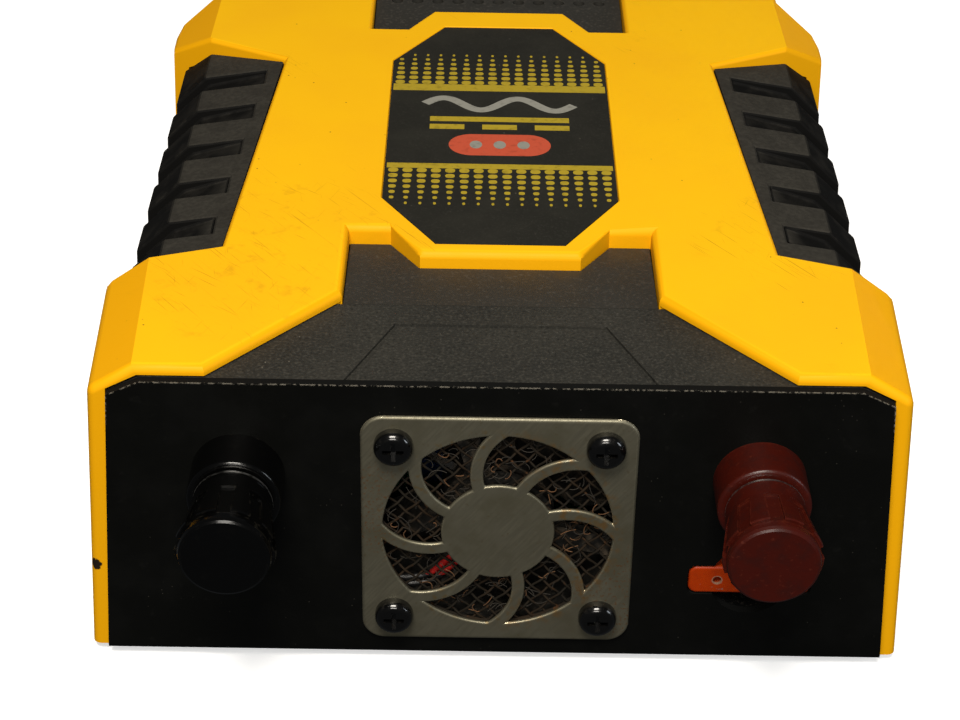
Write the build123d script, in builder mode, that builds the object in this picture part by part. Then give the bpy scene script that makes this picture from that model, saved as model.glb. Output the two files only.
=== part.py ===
from build123d import *
from math import atan2, cos, degrees, radians, sin, sqrt
import os

# A compact power inverter: a textured case on a bent sheet tray, under a moulded saddle cover.
# Row frame: +X to the right and +Y to the rear, seen from the terminal end; +Z up; millimetres.
# The origin is below the middle of the whole object, on the plane that it stands on.

os.makedirs("parts", exist_ok=True)

# ---------------------------------------------------------------- driving dimensions
case_length = 170.0  # outer face of the front panel to outer face of the rear panel
foot_height = 1.5
post_reach = 21.4  # how far a terminal knob stands out of the front panel
rocker_reach = 4.0  # how far the switch stands out of the rear panel
sheet = 1.5  # tray metal
wall = 1.8  # moulded case wall
gap = 0.2  # between pieces that are fitted into each other
roof_height = 53.05  # middle of the saddle cover, above the tray

front_y = post_reach - (case_length + post_reach + rocker_reach) / 2
rear_y = front_y + case_length
inner_length = case_length - 2 * sheet


# ---------------------------------------------------------------- working planes
def front_plane(depth):
    """Faces the user at the terminal end: local x is X, local y is height above the tray."""
    return Plane(origin=(0, front_y + depth, foot_height), x_dir=(1, 0, 0), z_dir=(0, -1, 0))


def rear_plane(depth):
    """Faces away from the terminal end: local x runs towards -X."""
    return Plane(origin=(0, rear_y - depth, foot_height), x_dir=(-1, 0, 0), z_dir=(0, 1, 0))


def floor_plane(height):
    """Faces up: local x is X, local y is the depth behind the front panel's outer face."""
    return Plane(origin=(0, front_y, foot_height + height), x_dir=(1, 0, 0), z_dir=(0, 0, 1))


def side_plane(offset):
    """Faces +X at X = offset: local x is the depth behind the front panel, local y is height."""
    return Plane(origin=(offset, front_y, foot_height), x_dir=(0, 1, 0), z_dir=(1, 0, 0))


def both_sides(half):
    """The right half of an outline, followed by its mirror image."""
    return half + [(-x, y) for x, y in reversed(half)]


# ---------------------------------------------------------------- shared places
fan_height = 24.8
fan_pitch = 32.0
fan_side = 40.0
fan_depth = 20.0
fan_bore = 38.0
fan_opening = 38.6
post_x = 39.6
post_height = 34.8
fuse_x = 39.6
fuse_height = 15.7
fuse_width = 19.1
fuse_thick = 5.1
fuse_corner = 1.3
finger_radius = 6.3
nose_end = 23.4
rear_nose_start = 158.3
boss_places = [(-55.0, 12.0), (55.0, 12.0), (-48.3, 162.5), (48.3, 162.5)]
foot_places = [(-46.0, 24.0), (46.0, 24.0), (-44.0, 134.0), (44.0, 134.0)]
outlet_places = [-30.5, 0.5]
outlet_height = 25.0
switch_x = 27.5
switch_height = 33.0
usb_x = 27.5
usb_height = 13.0
led_x = 41.5
led_heights = {"led_power": 37.0, "led_fault": 29.0}
board_height = 7.0

# ---------------------------------------------------------------- shared outlines, as half sections
panel_half = [(61.7, 0), (58.8, 48.5), (53.8, 50.9)]
nose_half = [(61.5, 0), (58.6, 48.4), (53.7, 50.9)]
nose_hollow_half = [(59.9, -1), (57.0, 47.4), (53.0, 49.1)]
main_half = [(55.6, 0), (53.4, 43.5), (48.8, 47.2)]
main_hollow_half = [(53.85, -1), (51.6, 42.8), (48.1, 45.4)]
rear_half = [(55.6, 0), (53.0, 47.6), (50.0, 50.9)]
rear_hollow_half = [(53.85, -1), (51.3, 46.9), (49.2, 49.1)]
floor_half = [(59.6, 0), (59.6, nose_end - wall - gap), (53.6, nose_end - wall - gap), (53.6, case_length)]


def tray_openings():
    """Cut the front panel for the fan, the posts and the fuse."""
    with BuildSketch(front_plane(0)) as openings:
        with Locations((0, fan_height)):
            Circle(fan_opening / 2)
            with GridLocations(fan_pitch, fan_pitch, 2, 2):
                Circle(1.7)
        with Locations((-post_x, post_height), (post_x, post_height)):
            Circle(4.5)
        with Locations((fuse_x, fuse_height)):
            RectangleRounded(fuse_width + 2 * gap, fuse_thick + 2 * gap, fuse_corner + gap)
            Circle(finger_radius)
    extrude(openings.sketch, amount=-sheet, mode=Mode.SUBTRACT)


def rear_openings():
    """Cut the rear panel for the outlets, the switch, the charging port and the lamps."""
    with BuildSketch(rear_plane(0)) as openings:
        with Locations(*[(x, outlet_height) for x in outlet_places]):
            RectangleRounded(25.0, 32.0, 3.0)
        with Locations((switch_x, switch_height)):
            Rectangle(13.2, 19.2)
        with Locations((usb_x, usb_height)):
            Rectangle(13.8, 6.4)
        with Locations(*[(led_x, height) for height in led_heights.values()]):
            Circle(2.6)
    extrude(openings.sketch, amount=-sheet, mode=Mode.SUBTRACT)


# ---------------------------------------------------------------- sheet metal tray
with BuildPart() as chassis_tray:
    with BuildSketch(front_plane(0)):
        Polygon(*both_sides(panel_half), align=None)
    extrude(amount=-sheet)
    with BuildSketch(rear_plane(0)):
        Polygon(*both_sides(rear_half), align=None)
    extrude(amount=-sheet)
    with BuildSketch(floor_plane(0)):
        Polygon(*both_sides(floor_half), align=None)
    extrude(amount=sheet)
    tray_openings()
    rear_openings()
    with BuildSketch(floor_plane(0)):
        with Locations(*boss_places):
            Circle(1.7)
        with Locations(*foot_places):
            Circle(2.0)
        with Locations((0, 60), (0, 118)):
            with GridLocations(5.0, 0, 9, 1):
                SlotOverall(18, 2.4, rotation=90)
    extrude(amount=sheet, mode=Mode.SUBTRACT)
    bends = chassis_tray.edges().filter_by(Axis.X).group_by(Axis.Z)[0]
    fillet(bends.filter_by(lambda bend: bend.length > 100), radius=1.2)
chassis_tray.part.label = "chassis_tray"
export_step(chassis_tray.part, "parts/chassis_tray.step")

# ---------------------------------------------------------------- textured upper case
vent_rows = 4
vent_columns = 11
vent_pitch_x = 4.07
vent_pitch_y = 4.0
vent_first = 143.6
vent_middle = vent_first + (vent_rows - 1) * vent_pitch_y / 2
groove_outer = [(24.1, 0), (16.4, 17.8)]
groove_inner = [(22.9, 0), (15.8, 16.9)]
groove_depth = 0.45

with BuildPart() as upper_case:
    with BuildSketch(front_plane(sheet)):
        Polygon(*both_sides(nose_half), align=None)
    extrude(amount=-(nose_end - sheet))
    with BuildSketch(front_plane(sheet)):
        Polygon(*both_sides(main_half), align=None)
    extrude(amount=-inner_length)
    with BuildSketch(front_plane(rear_nose_start)):
        Polygon(*both_sides(rear_half), align=None)
    extrude(amount=-(case_length - sheet - rear_nose_start))
    with BuildSketch(front_plane(sheet)):
        Polygon(*both_sides(nose_hollow_half), align=None)
    extrude(amount=-(nose_end - sheet - wall), mode=Mode.SUBTRACT)
    with BuildSketch(front_plane(sheet)):
        Polygon(*both_sides(main_hollow_half), align=None)
    extrude(amount=-inner_length, mode=Mode.SUBTRACT)
    with BuildSketch(front_plane(rear_nose_start + wall)):
        Polygon(*both_sides(rear_hollow_half), align=None)
    extrude(amount=-(case_length - sheet - wall - rear_nose_start), mode=Mode.SUBTRACT)
    with BuildSketch(floor_plane(sheet)):
        with Locations(*boss_places):
            Circle(3.5)
    extrude(amount=48.6 - sheet)
    with BuildSketch(floor_plane(sheet)):
        with Locations(*boss_places):
            Circle(1.55)
    extrude(amount=14, mode=Mode.SUBTRACT)
    with BuildSketch(floor_plane(40)):
        with Locations((0, vent_middle)):
            Rectangle(vent_columns * vent_pitch_x, vent_rows * vent_pitch_y)
    extrude(amount=8, mode=Mode.SUBTRACT)
    with BuildSketch(floor_plane(nose_half[-1][1])):
        Polygon(*both_sides(groove_outer), align=None)
        Polygon(*both_sides(groove_inner), align=None, mode=Mode.SUBTRACT)
    extrude(amount=-groove_depth, mode=Mode.SUBTRACT)
upper_case.part.label = "upper_case"
export_step(upper_case.part, "parts/upper_case.step")

# ---------------------------------------------------------------- saddle cover
# Half widths of the cover along its length, at tray level and at roof level.
cover_front = 1.5
cover_rear = case_length - 1.5
cover_stations = [cover_front, 34.7, 42.7, 93.0, 127.0, 131.5, 136.5, 143.0, cover_rear]
cover_low = [64.4, 65.2, 62.6, 62.6, 65.2, 65.2, 64.6, 59.0, 58.8]
cover_high = [61.55, 63.3, 59.7, 60.0, 63.5, 63.6, 62.9, 56.2, 55.9]
hollow_stations = [0.0, 24.0, 33.0, 41.0, 93.0, 127.0, 131.5, 136.5, 143.0, case_length]
hollow_low = [61.9, 61.9, 62.2, 59.4, 59.4, 62.2, 62.2, 61.6, 56.1, 56.0]
hollow_high = [58.7, 58.7, 60.2, 57.0, 57.2, 60.6, 60.7, 60.0, 53.4, 53.2]
loft_height = 54.0
crease_x = 25.0
shoulder_stations = [0, 34.7, 119.0, case_length]
shoulder_x = [54.85, 56.4, 55.6, 54.9]
shoulder_height = 52.75
shoulder_slope = 0.616
cover_reach = 75.0
front_ceiling_half = [(75, -1), (75, 40.39), (59.2, 48.6), (54.2, 51.2)]
ceiling = 49.5
main_ceiling_half = [(75, -1), (75, 36.25), (53.5, ceiling)]
rear_ceiling_half = [(75, -1), (75, 24.0), (53.3, 47.9), (50.3, 51.2)]
rear_ceiling_start = rear_nose_start - 0.4

front_recess_half = [(45.4, 0), (24.9, 24.0), (24.9, 45.1), (18.0, 45.1), (13.0, 36.6)]
rear_recess_half = [(38.0, case_length), (24.7, rear_nose_start), (24.7, 125.2), (17.8, 125.2), (12.9, 134.0)]
label_half = [(10.5, 39.6), (20.0, 55.4), (20.0, 110.3), (10.5, 126.3)]
label_depth = 0.6
window_base = 18.0
window_right = [(45.2, 38.4), (56.6, 34.6), (75.0, 30.9), (75.0, 131.9), (55.3, 119.0), (40.5, 111.0)]
window_left = [(-x, y) for x, y in reversed(window_right)]


def tapered_block(stations, low, high, mode=Mode.ADD):
    """A block with straight sides between an outline on the tray and one at roof level."""
    with BuildSketch(floor_plane(-1 if mode == Mode.INTERSECT else 0)) as foot:
        Polygon(*both_sides(list(zip(low, stations))), align=None)
    with BuildSketch(floor_plane(loft_height)) as head:
        Polygon(*both_sides(list(zip(high, stations))), align=None)
    loft([foot.sketch, head.sketch], ruled=True, mode=mode)


with BuildPart() as cover_hollow:
    with BuildSketch(front_plane(0)):
        Polygon(*both_sides(front_ceiling_half), align=None)
    extrude(amount=-24)
    with BuildSketch(front_plane(24)):
        Polygon(*both_sides(main_ceiling_half), align=None)
    extrude(amount=-(rear_ceiling_start - 24))
    with BuildSketch(front_plane(rear_ceiling_start)):
        Polygon(*both_sides(rear_ceiling_half), align=None)
    extrude(amount=-(case_length - rear_ceiling_start))
    tapered_block(hollow_stations, hollow_low, hollow_high, mode=Mode.INTERSECT)

with BuildPart() as saddle_cover:
    tapered_block(cover_stations, cover_low, cover_high)
    with BuildPart(mode=Mode.PRIVATE) as roof:
        for station, x in zip(shoulder_stations, shoulder_x):
            with BuildSketch(front_plane(station)):
                eave = (cover_reach, shoulder_height - (cover_reach - x) * shoulder_slope)
                roof_half = [(cover_reach, 0), eave, (x, shoulder_height), (crease_x, roof_height)]
                Polygon(*both_sides(roof_half), align=None)
        loft(ruled=True)
    add(roof.part, mode=Mode.INTERSECT)
    with BuildSketch(floor_plane(40)):
        Polygon(*both_sides(front_recess_half), align=None)
        Polygon(*both_sides(rear_recess_half), align=None)
    extrude(amount=20, mode=Mode.SUBTRACT)
    with BuildSketch(floor_plane(window_base)):
        Polygon(*window_right, align=None)
        Polygon(*window_left, align=None)
    extrude(amount=40, mode=Mode.SUBTRACT)
    add(cover_hollow.part, mode=Mode.SUBTRACT)
    with BuildSketch(floor_plane(roof_height)):
        Polygon(*both_sides(label_half), align=None)
    extrude(amount=-label_depth, mode=Mode.SUBTRACT)
saddle_cover.part.label = "saddle_cover"
export_step(saddle_cover.part, "parts/saddle_cover.step")

# ---------------------------------------------------------------- rubber grips
slot_count = 5
slot_first = 48.2
slot_pitch = 14.2
slot_width = 5.6
slot_bottom = 20.5
grip_section = [(62.2, 18.3), (61.2, 44.4), (55.4, 49.9), (38, 52.6), (38, 47.35), (53.6, 47.35),
                (57.4, 43.7), (58.6, 18.3)]
slot_section = [(70, slot_bottom), (60.1, slot_bottom), (59.2, 43.6), (54.4, 48.1), (38, 50.6), (38, 60), (70, 60)]
window_slope = (45.2 - 40.5) / (111.0 - 38.4)


def grip(window, side):
    """The rubber piece that fills one window; side is +1 on the right and -1 on the left."""
    with BuildPart() as piece:
        with BuildSketch(front_plane(0)) as section:
            Polygon(*[(side * x, y) for x, y in grip_section], align=None)
        extrude(section.sketch, amount=-case_length)
        with BuildSketch(floor_plane(0)) as plan:
            Polygon(*window, align=None)
            offset(amount=-gap, kind=Kind.INTERSECTION)
        extrude(plan.sketch, amount=roof_height, mode=Mode.INTERSECT)
        for i in range(slot_count):
            middle = slot_first + i * slot_pitch
            inner_end = 45.2 - (middle - 38.4) * window_slope + 3.0
            with BuildSketch(front_plane(middle - slot_width / 2)) as slot:
                Polygon(*[(side * max(x, inner_end), y) for x, y in slot_section], align=None)
            extrude(slot.sketch, amount=-slot_width, mode=Mode.SUBTRACT)
    return piece.part


grip_right = grip(window_right, 1)
grip_right.label = "grip_right"
export_step(grip_right, "parts/grip_right.step")
grip_left = grip(window_left, -1)
grip_left.label = "grip_left"
export_step(grip_left, "parts/grip_left.step")

# ---------------------------------------------------------------- front insert and vent grille
insert_base = 47.3
insert_high = 50.9
insert_low = 49.7
front_insert_plan = [(24.7, 23.6), (24.7, 44.9), (18.1, 44.9), (13.1, 36.4)]
front_insert_side = [(23.0, insert_base), (23.0, insert_high), (45.0, insert_low), (45.0, insert_base)]
vent_plan = [(24.5, rear_nose_start - gap), (24.5, 125.4), (17.7, 125.4), (12.8, 134.2)]
vent_side = [(125.0, insert_base), (125.0, insert_low), (141.0, insert_high), (158.2, insert_high),
             (158.2, insert_base)]

with BuildPart() as front_insert:
    with BuildSketch(side_plane(0)):
        Polygon(*front_insert_side, align=None)
    extrude(amount=crease_x, both=True)
    with BuildSketch(floor_plane(insert_base)):
        Polygon(*both_sides(front_insert_plan), align=None)
    extrude(amount=insert_high - insert_base, mode=Mode.INTERSECT)
front_insert.part.label = "front_insert"
export_step(front_insert.part, "parts/front_insert.step")

with BuildPart() as vent_grille:
    with BuildSketch(side_plane(0)):
        Polygon(*vent_side, align=None)
    extrude(amount=crease_x, both=True)
    with BuildSketch(floor_plane(insert_base)):
        Polygon(*both_sides(vent_plan), align=None)
    extrude(amount=insert_high - insert_base, mode=Mode.INTERSECT)
    with BuildSketch(floor_plane(insert_base)):
        with Locations((0, vent_middle)):
            with GridLocations(vent_pitch_x, vent_pitch_y, vent_columns, vent_rows):
                Circle(1.15)
    extrude(amount=insert_high - insert_base, mode=Mode.SUBTRACT)
vent_grille.part.label = "vent_grille"
export_step(vent_grille.part, "parts/vent_grille.step")

# ---------------------------------------------------------------- label plate
with BuildPart() as label_plate:
    with BuildSketch(floor_plane(roof_height - label_depth)):
        Polygon(*both_sides(label_half), align=None)
        offset(amount=-0.1, kind=Kind.INTERSECTION)
    extrude(amount=label_depth - 0.15)
label_plate.part.label = "label_plate"
export_step(label_plate.part, "parts/label_plate.step")

# ---------------------------------------------------------------- feet and case screws
with BuildPart() as rubber_feet:
    with BuildSketch(floor_plane(-foot_height)):
        with Locations(*foot_places):
            Circle(5.0)
    extrude(amount=foot_height, taper=8)
    with BuildSketch(floor_plane(0)):
        with Locations(*foot_places):
            Circle(1.95)
    extrude(amount=sheet + 0.8)
rubber_feet.part.label = "rubber_feet"
export_step(rubber_feet.part, "parts/rubber_feet.step")

with BuildPart() as case_screws:
    with BuildSketch(floor_plane(-1.1)):
        with Locations(*boss_places):
            Circle(2.8)
            Rectangle(3.0, 0.7, mode=Mode.SUBTRACT)
            Rectangle(0.7, 3.0, mode=Mode.SUBTRACT)
    extrude(amount=0.6)
    with BuildSketch(floor_plane(-0.5)):
        with Locations(*boss_places):
            Circle(2.8)
    extrude(amount=0.5)
    with BuildSketch(floor_plane(0)):
        with Locations(*boss_places):
            Circle(1.45)
    extrude(amount=12)
case_screws.part.label = "case_screws"
export_step(case_screws.part, "parts/case_screws.step")

# ---------------------------------------------------------------- fan guard and dust screen
guard_side = 42.0
guard_corner = 3.5
guard_thick = 0.7
guard_open_radius = 17.8
guard_hub_radius = 8.75
spoke_count = 8
spoke_start = 21.0  # degrees, where the first spoke leaves the hub
spoke_sweep = 24.0  # degrees that a spoke falls back on its way out
spoke_width = 2.0

spoke_root = guard_hub_radius - 1.0
spoke_tip = guard_open_radius + 1.0
root_angle = radians(spoke_start)
tip_angle = radians(spoke_start - spoke_sweep)
with BuildLine() as spoke_line:
    spoke_arc = TangentArc(
        (spoke_root * cos(root_angle), spoke_root * sin(root_angle)),
        (spoke_tip * cos(tip_angle), spoke_tip * sin(tip_angle)),
        tangent=(cos(root_angle), sin(root_angle)),
    )

with BuildPart() as fan_guard:
    with BuildSketch(front_plane(-guard_thick)):
        with Locations((0, fan_height)):
            RectangleRounded(guard_side, guard_side, guard_corner)
            Circle(guard_open_radius, mode=Mode.SUBTRACT)
            Circle(guard_hub_radius)
            with PolarLocations(0, spoke_count):
                SlotArc(spoke_arc, spoke_width)
            with GridLocations(fan_pitch, fan_pitch, 2, 2):
                Circle(1.7, mode=Mode.SUBTRACT)
    extrude(amount=-guard_thick)
    outer_rim = fan_guard.faces().sort_by(Axis.Y)[0].outer_wire().edges()
    fillet(outer_rim, radius=0.45)
fan_guard.part.label = "fan_guard"
export_step(fan_guard.part, "parts/fan_guard.step")

screen_radius = 18.9
screen_rim = 1.0
screen_pitch = 2.0
screen_wire = 0.3
screen_wires = 19

with BuildPart() as dust_screen:
    for layer, turn in enumerate((45, 135)):
        with BuildSketch(front_plane(0.5 + layer * screen_wire)):
            with Locations((0, fan_height)):
                with Locations(Location((0, 0), turn)):
                    with GridLocations(0, screen_pitch, 1, screen_wires):
                        Rectangle(2 * screen_radius, screen_wire)
                Circle(screen_radius - screen_rim / 2, mode=Mode.INTERSECT)
        extrude(amount=-screen_wire)
    with BuildSketch(front_plane(0.2)):
        with Locations((0, fan_height)):
            Circle(screen_radius)
            Circle(screen_radius - screen_rim, mode=Mode.SUBTRACT)
    extrude(amount=-1.1)
dust_screen.part.label = "dust_screen"
export_step(dust_screen.part, "parts/dust_screen.step")

# ---------------------------------------------------------------- fan, blowing out past its struts
fan_front = sheet + 0.1
fan_back = fan_front + fan_depth
flange = 3.5
hub_radius = 8.8
strut_depth = 1.6
strut_turn = 227  # degrees, the strut that carries the leads
strut_width = 3.6
channel_width = 2.8
channel_depth = 1.4
rotor_front = fan_front + 3.4
cup_depth = 14.5
cup_wall = 1.0
lead_bend = (15.5 * cos(radians(strut_turn)), 15.5 * sin(radians(strut_turn)))
lead_exit = (-23.5, -13.0)
lead_path = [(0.4 * lead_bend[0], 0.4 * lead_bend[1]), lead_bend, lead_exit]
blade_count = 7
blade_half_chord = 5.8
blade_section = [(-1.0, blade_half_chord), (0.2, blade_half_chord), (1.0, -blade_half_chord),
                 (-0.2, -blade_half_chord)]
blade_root_pitch = 42
blade_tip_pitch = 58
blade_tip_radius = fan_bore / 2 - 0.9
magnet_inner = 6.3
stator_outer = 5.9
shaft_radius = 1.0
bearing_radius = 2.2
bearing_length = 14.2

with BuildPart() as fan_frame:
    with BuildSketch(front_plane(fan_front)):
        with Locations((0, fan_height)):
            RectangleRounded(fan_side, fan_side, 2.5)
    extrude(amount=-fan_depth)
    with BuildSketch(front_plane(fan_front + flange)):
        with Locations((0, fan_height)):
            Rectangle(fan_side + 1, fan_side + 1)
            Circle(fan_bore / 2 + 0.95, mode=Mode.SUBTRACT)
    extrude(amount=-(fan_depth - 2 * flange), mode=Mode.SUBTRACT)
    with BuildSketch(front_plane(fan_front)):
        with Locations((0, fan_height)):
            Circle(fan_bore / 2)
            with GridLocations(fan_pitch, fan_pitch, 2, 2):
                Circle(1.75)
    extrude(amount=-fan_depth, mode=Mode.SUBTRACT)
    with BuildSketch(front_plane(fan_front)):
        with Locations((0, fan_height)):
            Circle(hub_radius)
            with PolarLocations(fan_bore / 4 + 0.5, 3, start_angle=strut_turn):
                Rectangle(fan_bore / 2, strut_width)
            Circle(bearing_radius, mode=Mode.SUBTRACT)
    extrude(amount=-strut_depth)
    with BuildSketch(front_plane(fan_front)):
        with BuildLine():
            Polyline(*[(x, fan_height + y) for x, y in lead_path])
        trace(line_width=channel_width)
    extrude(amount=-channel_depth, mode=Mode.SUBTRACT)
fan_frame.part.label = "fan_frame"
export_step(fan_frame.part, "parts/fan_frame.step")


def ring(place, outer, inner, start, length):
    """A ring about an axis along Y through `place`, starting `start` behind the front panel's face."""
    with BuildPart() as piece:
        with BuildSketch(front_plane(start)):
            with Locations(place):
                Circle(outer)
                if inner:
                    Circle(inner, mode=Mode.SUBTRACT)
        extrude(amount=-length)
    return piece.part


fan_place = (0, fan_height)
with BuildPart() as fan_rotor:
    with BuildSketch(front_plane(rotor_front)):
        with Locations(fan_place):
            Circle(hub_radius)
    extrude(amount=-cup_depth)
    fillet(fan_rotor.edges().sort_by(Axis.Y)[-1], radius=0.8)
    blade_middle = front_y + rotor_front + cup_depth / 2
    for i in range(blade_count):
        turn = radians(360 / blade_count * i)
        radial = Vector(cos(turn), 0, sin(turn))
        root_plane = Plane(
            origin=Vector(0, blade_middle, foot_height + fan_height) + radial * (hub_radius - 0.6),
            x_dir=radial.cross(Vector(0, 1, 0)),
            z_dir=radial,
        )
        with BuildSketch(root_plane.rotated((0, 0, blade_root_pitch))):
            Polygon(*blade_section, align=None)
        with BuildSketch(root_plane.offset(11.0).rotated((0, 0, blade_tip_pitch))):
            Polygon(*blade_section, align=None)
        loft()
    with BuildSketch(front_plane(rotor_front)):
        with Locations(fan_place):
            Circle(blade_tip_radius)
    extrude(amount=-cup_depth, mode=Mode.INTERSECT)
    with BuildSketch(front_plane(rotor_front)):
        with Locations(fan_place):
            Circle(hub_radius - cup_wall)
    extrude(amount=-(cup_depth - cup_wall), mode=Mode.SUBTRACT)
    with BuildSketch(front_plane(rotor_front + cup_depth - cup_wall - 2)):
        with Locations(fan_place):
            Circle(bearing_radius)
    extrude(amount=-2.2)
    with BuildSketch(front_plane(rotor_front)):
        with Locations(fan_place):
            Circle(shaft_radius)
    extrude(amount=-(cup_depth - 0.5), mode=Mode.SUBTRACT)
fan_rotor.part.label = "fan_rotor"
export_step(fan_rotor.part, "parts/fan_rotor.step")

shaft_front = fan_front + strut_depth
fan_rings = {
    "fan_magnet": ring(fan_place, hub_radius - cup_wall, magnet_inner, rotor_front + 2.0, 9.5),
    "fan_shaft": ring(fan_place, shaft_radius, 0, shaft_front, rotor_front + cup_depth - 0.5 - shaft_front),
    "fan_bearing": ring(fan_place, bearing_radius, shaft_radius + 0.04, fan_front, bearing_length),
}
for name, piece in fan_rings.items():
    piece.label = name
    export_step(piece, f"parts/{name}.step")

with BuildPart() as fan_stator:
    with BuildSketch(front_plane(rotor_front + 3.0)):
        with Locations(fan_place):
            Circle(3.2)
            with PolarLocations(stator_outer / 2, 4, start_angle=45):
                Rectangle(stator_outer, 2.0)
            with PolarLocations(stator_outer - 0.5, 4, start_angle=45):
                Rectangle(1.6, 6.4)
            Circle(stator_outer, mode=Mode.INTERSECT)
            Circle(bearing_radius, mode=Mode.SUBTRACT)
    extrude(amount=-7.0)
    with BuildSketch(front_plane(fan_front + strut_depth + 0.5)):
        with Locations(fan_place):
            Circle(7.4)
            Circle(bearing_radius, mode=Mode.SUBTRACT)
    extrude(amount=-0.8)
fan_stator.part.label = "fan_stator"
export_step(fan_stator.part, "parts/fan_stator.step")

# The fan's two leads lie in the channel, turn back beside the frame and end on the board.
fan_lead_radius = 0.62
fan_lead_offset = 0.68
fan_lead_depth = fan_front + 0.75
exit_turn = degrees(atan2(lead_exit[1] - lead_bend[1], lead_exit[0] - lead_bend[0])) % 360
lead_drop = 2.5
lead_normals = [strut_turn + 90, (strut_turn + exit_turn) / 2 + 90, exit_turn + 90]


def lead(points, radii, radius):
    """A round wire along straight runs joined by tangent arcs."""
    with BuildPart() as wire:
        with BuildLine() as route:
            FilletPolyline(*points, radius=radii)
        with BuildSketch(Plane(origin=points[0], z_dir=Vector(*points[1]) - Vector(*points[0]))):
            Circle(radius)
        sweep(path=route.line)
    return wire.part


def inside(x, depth, height):
    """A point given by X, its depth behind the front panel and its height above the tray."""
    return (x, front_y + depth, foot_height + height)


fan_leads = Part()
for shift in (-fan_lead_offset, fan_lead_offset):
    points = []
    for (x, height), normal in zip(lead_path, lead_normals):
        side_x = x + shift * cos(radians(normal))
        side_height = fan_height + height + shift * sin(radians(normal))
        points.append(inside(side_x, fan_lead_depth, side_height))
    points.append((points[-1][0], front_y + 30, points[-1][2]))
    points.append((points[-1][0], front_y + 40, points[-1][2] - lead_drop))
    fan_leads += lead(points, [3.0, 3.5, 8.0], fan_lead_radius)
fan_leads.label = "fan_leads"
export_step(fan_leads, "parts/fan_leads.step")

screw_head_radius = 3.0
screw_head_high = 2.1
with BuildPart() as fan_screws:
    with BuildSketch(front_plane(-guard_thick)):
        with Locations((0, fan_height)):
            with GridLocations(fan_pitch, fan_pitch, 2, 2):
                Circle(screw_head_radius)
    extrude(amount=screw_head_high)
    head_rims = fan_screws.edges().group_by(Axis.Y)[0]
    fillet(head_rims, radius=1.3)
    with BuildSketch(front_plane(-guard_thick - screw_head_high)):
        with Locations((0, fan_height)):
            with GridLocations(fan_pitch, fan_pitch, 2, 2):
                Rectangle(3.2, 0.7)
                Rectangle(0.7, 3.2)
    extrude(amount=-1.3, mode=Mode.SUBTRACT)
    with BuildSketch(front_plane(-guard_thick)):
        with Locations((0, fan_height)):
            with GridLocations(fan_pitch, fan_pitch, 2, 2):
                Circle(1.45)
    extrude(amount=-(guard_thick + fan_back + 3.6))
fan_screws.part.label = "fan_screws"
export_step(fan_screws.part, "parts/fan_screws.step")

with BuildPart() as fan_nuts:
    with BuildSketch(front_plane(fan_back)):
        with Locations((0, fan_height)):
            with GridLocations(fan_pitch, fan_pitch, 2, 2):
                RegularPolygon(5.5 / 2, 6, major_radius=False)
                Circle(1.5, mode=Mode.SUBTRACT)
    extrude(amount=-2.4)
fan_nuts.part.label = "fan_nuts"
export_step(fan_nuts.part, "parts/fan_nuts.step")

# ---------------------------------------------------------------- binding posts
collar_radius = 7.1
collar_long = 7.5
sleeve_radius = 4.3
bush_long = 2.5
stud_radius = 2.95
stud_front = -19.5
stud_back = 16.0
stud_flange_radius = 5.0
stud_flange_thick = 0.4
post_bore = stud_radius + 0.1
washer_front = -8.35
washer_thick = 0.4
washer_radius = 6.0
knob_back = -8.4
insert_radius = 4.5
insert_bore = stud_radius + 0.05
insert_front = -18.5
knob_profile = [(knob_back, 0), (knob_back, 6.0), (-11.4, 6.1), (-19.3, 7.4), (-19.6, 7.3), (-19.6, 6.85),
                (-20.7, 6.85), (-21.2, 6.65), (-post_reach, 6.3), (-post_reach, 0)]
flute_count = 9
flute_width = 2.1
flute_floor = [(-12.0, 5.75), (-12.0, 9.0), (-20.2, 9.0), (-20.2, 7.0)]
nut_across = 10.0
nut_thick = 4.0
lug_thick = 1.0
lug_radius = 5.5
lug_drop = 6.5  # from the post's axis down to the lug's tail
lug_back = 17.0


def post_collar(x):
    """The insulating collar, with its sleeve through the front panel."""
    with BuildPart() as collar:
        with BuildSketch(front_plane(-collar_long)):
            with Locations((x, post_height)):
                Circle(collar_radius)
        extrude(amount=-collar_long)
        fillet(collar.edges().sort_by(Axis.Y)[0], radius=0.6)
        with BuildSketch(front_plane(0)):
            with Locations((x, post_height)):
                Circle(sleeve_radius)
        extrude(amount=-sheet)
        with BuildSketch(front_plane(-collar_long)):
            with Locations((x, post_height)):
                Circle(post_bore)
        extrude(amount=-(collar_long + sheet), mode=Mode.SUBTRACT)
    return collar.part


def post_stud(x):
    """The conductor: a stud with a flange on the collar and a cross hole for a bare wire."""
    with BuildPart() as stud:
        with BuildSketch(front_plane(stud_front)):
            with Locations((x, post_height)):
                Circle(stud_radius)
        extrude(amount=-(stud_back - stud_front))
        chamfer(stud.edges(), length=0.5)
        with BuildSketch(front_plane(-collar_long - stud_flange_thick)):
            with Locations((x, post_height)):
                Circle(stud_flange_radius)
        extrude(amount=-stud_flange_thick)
        with BuildSketch(side_plane(x)):
            with Locations((-10.4, post_height)):
                Circle(1.1)
        extrude(amount=stud_radius + 1, both=True, mode=Mode.SUBTRACT)
    return stud.part


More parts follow.
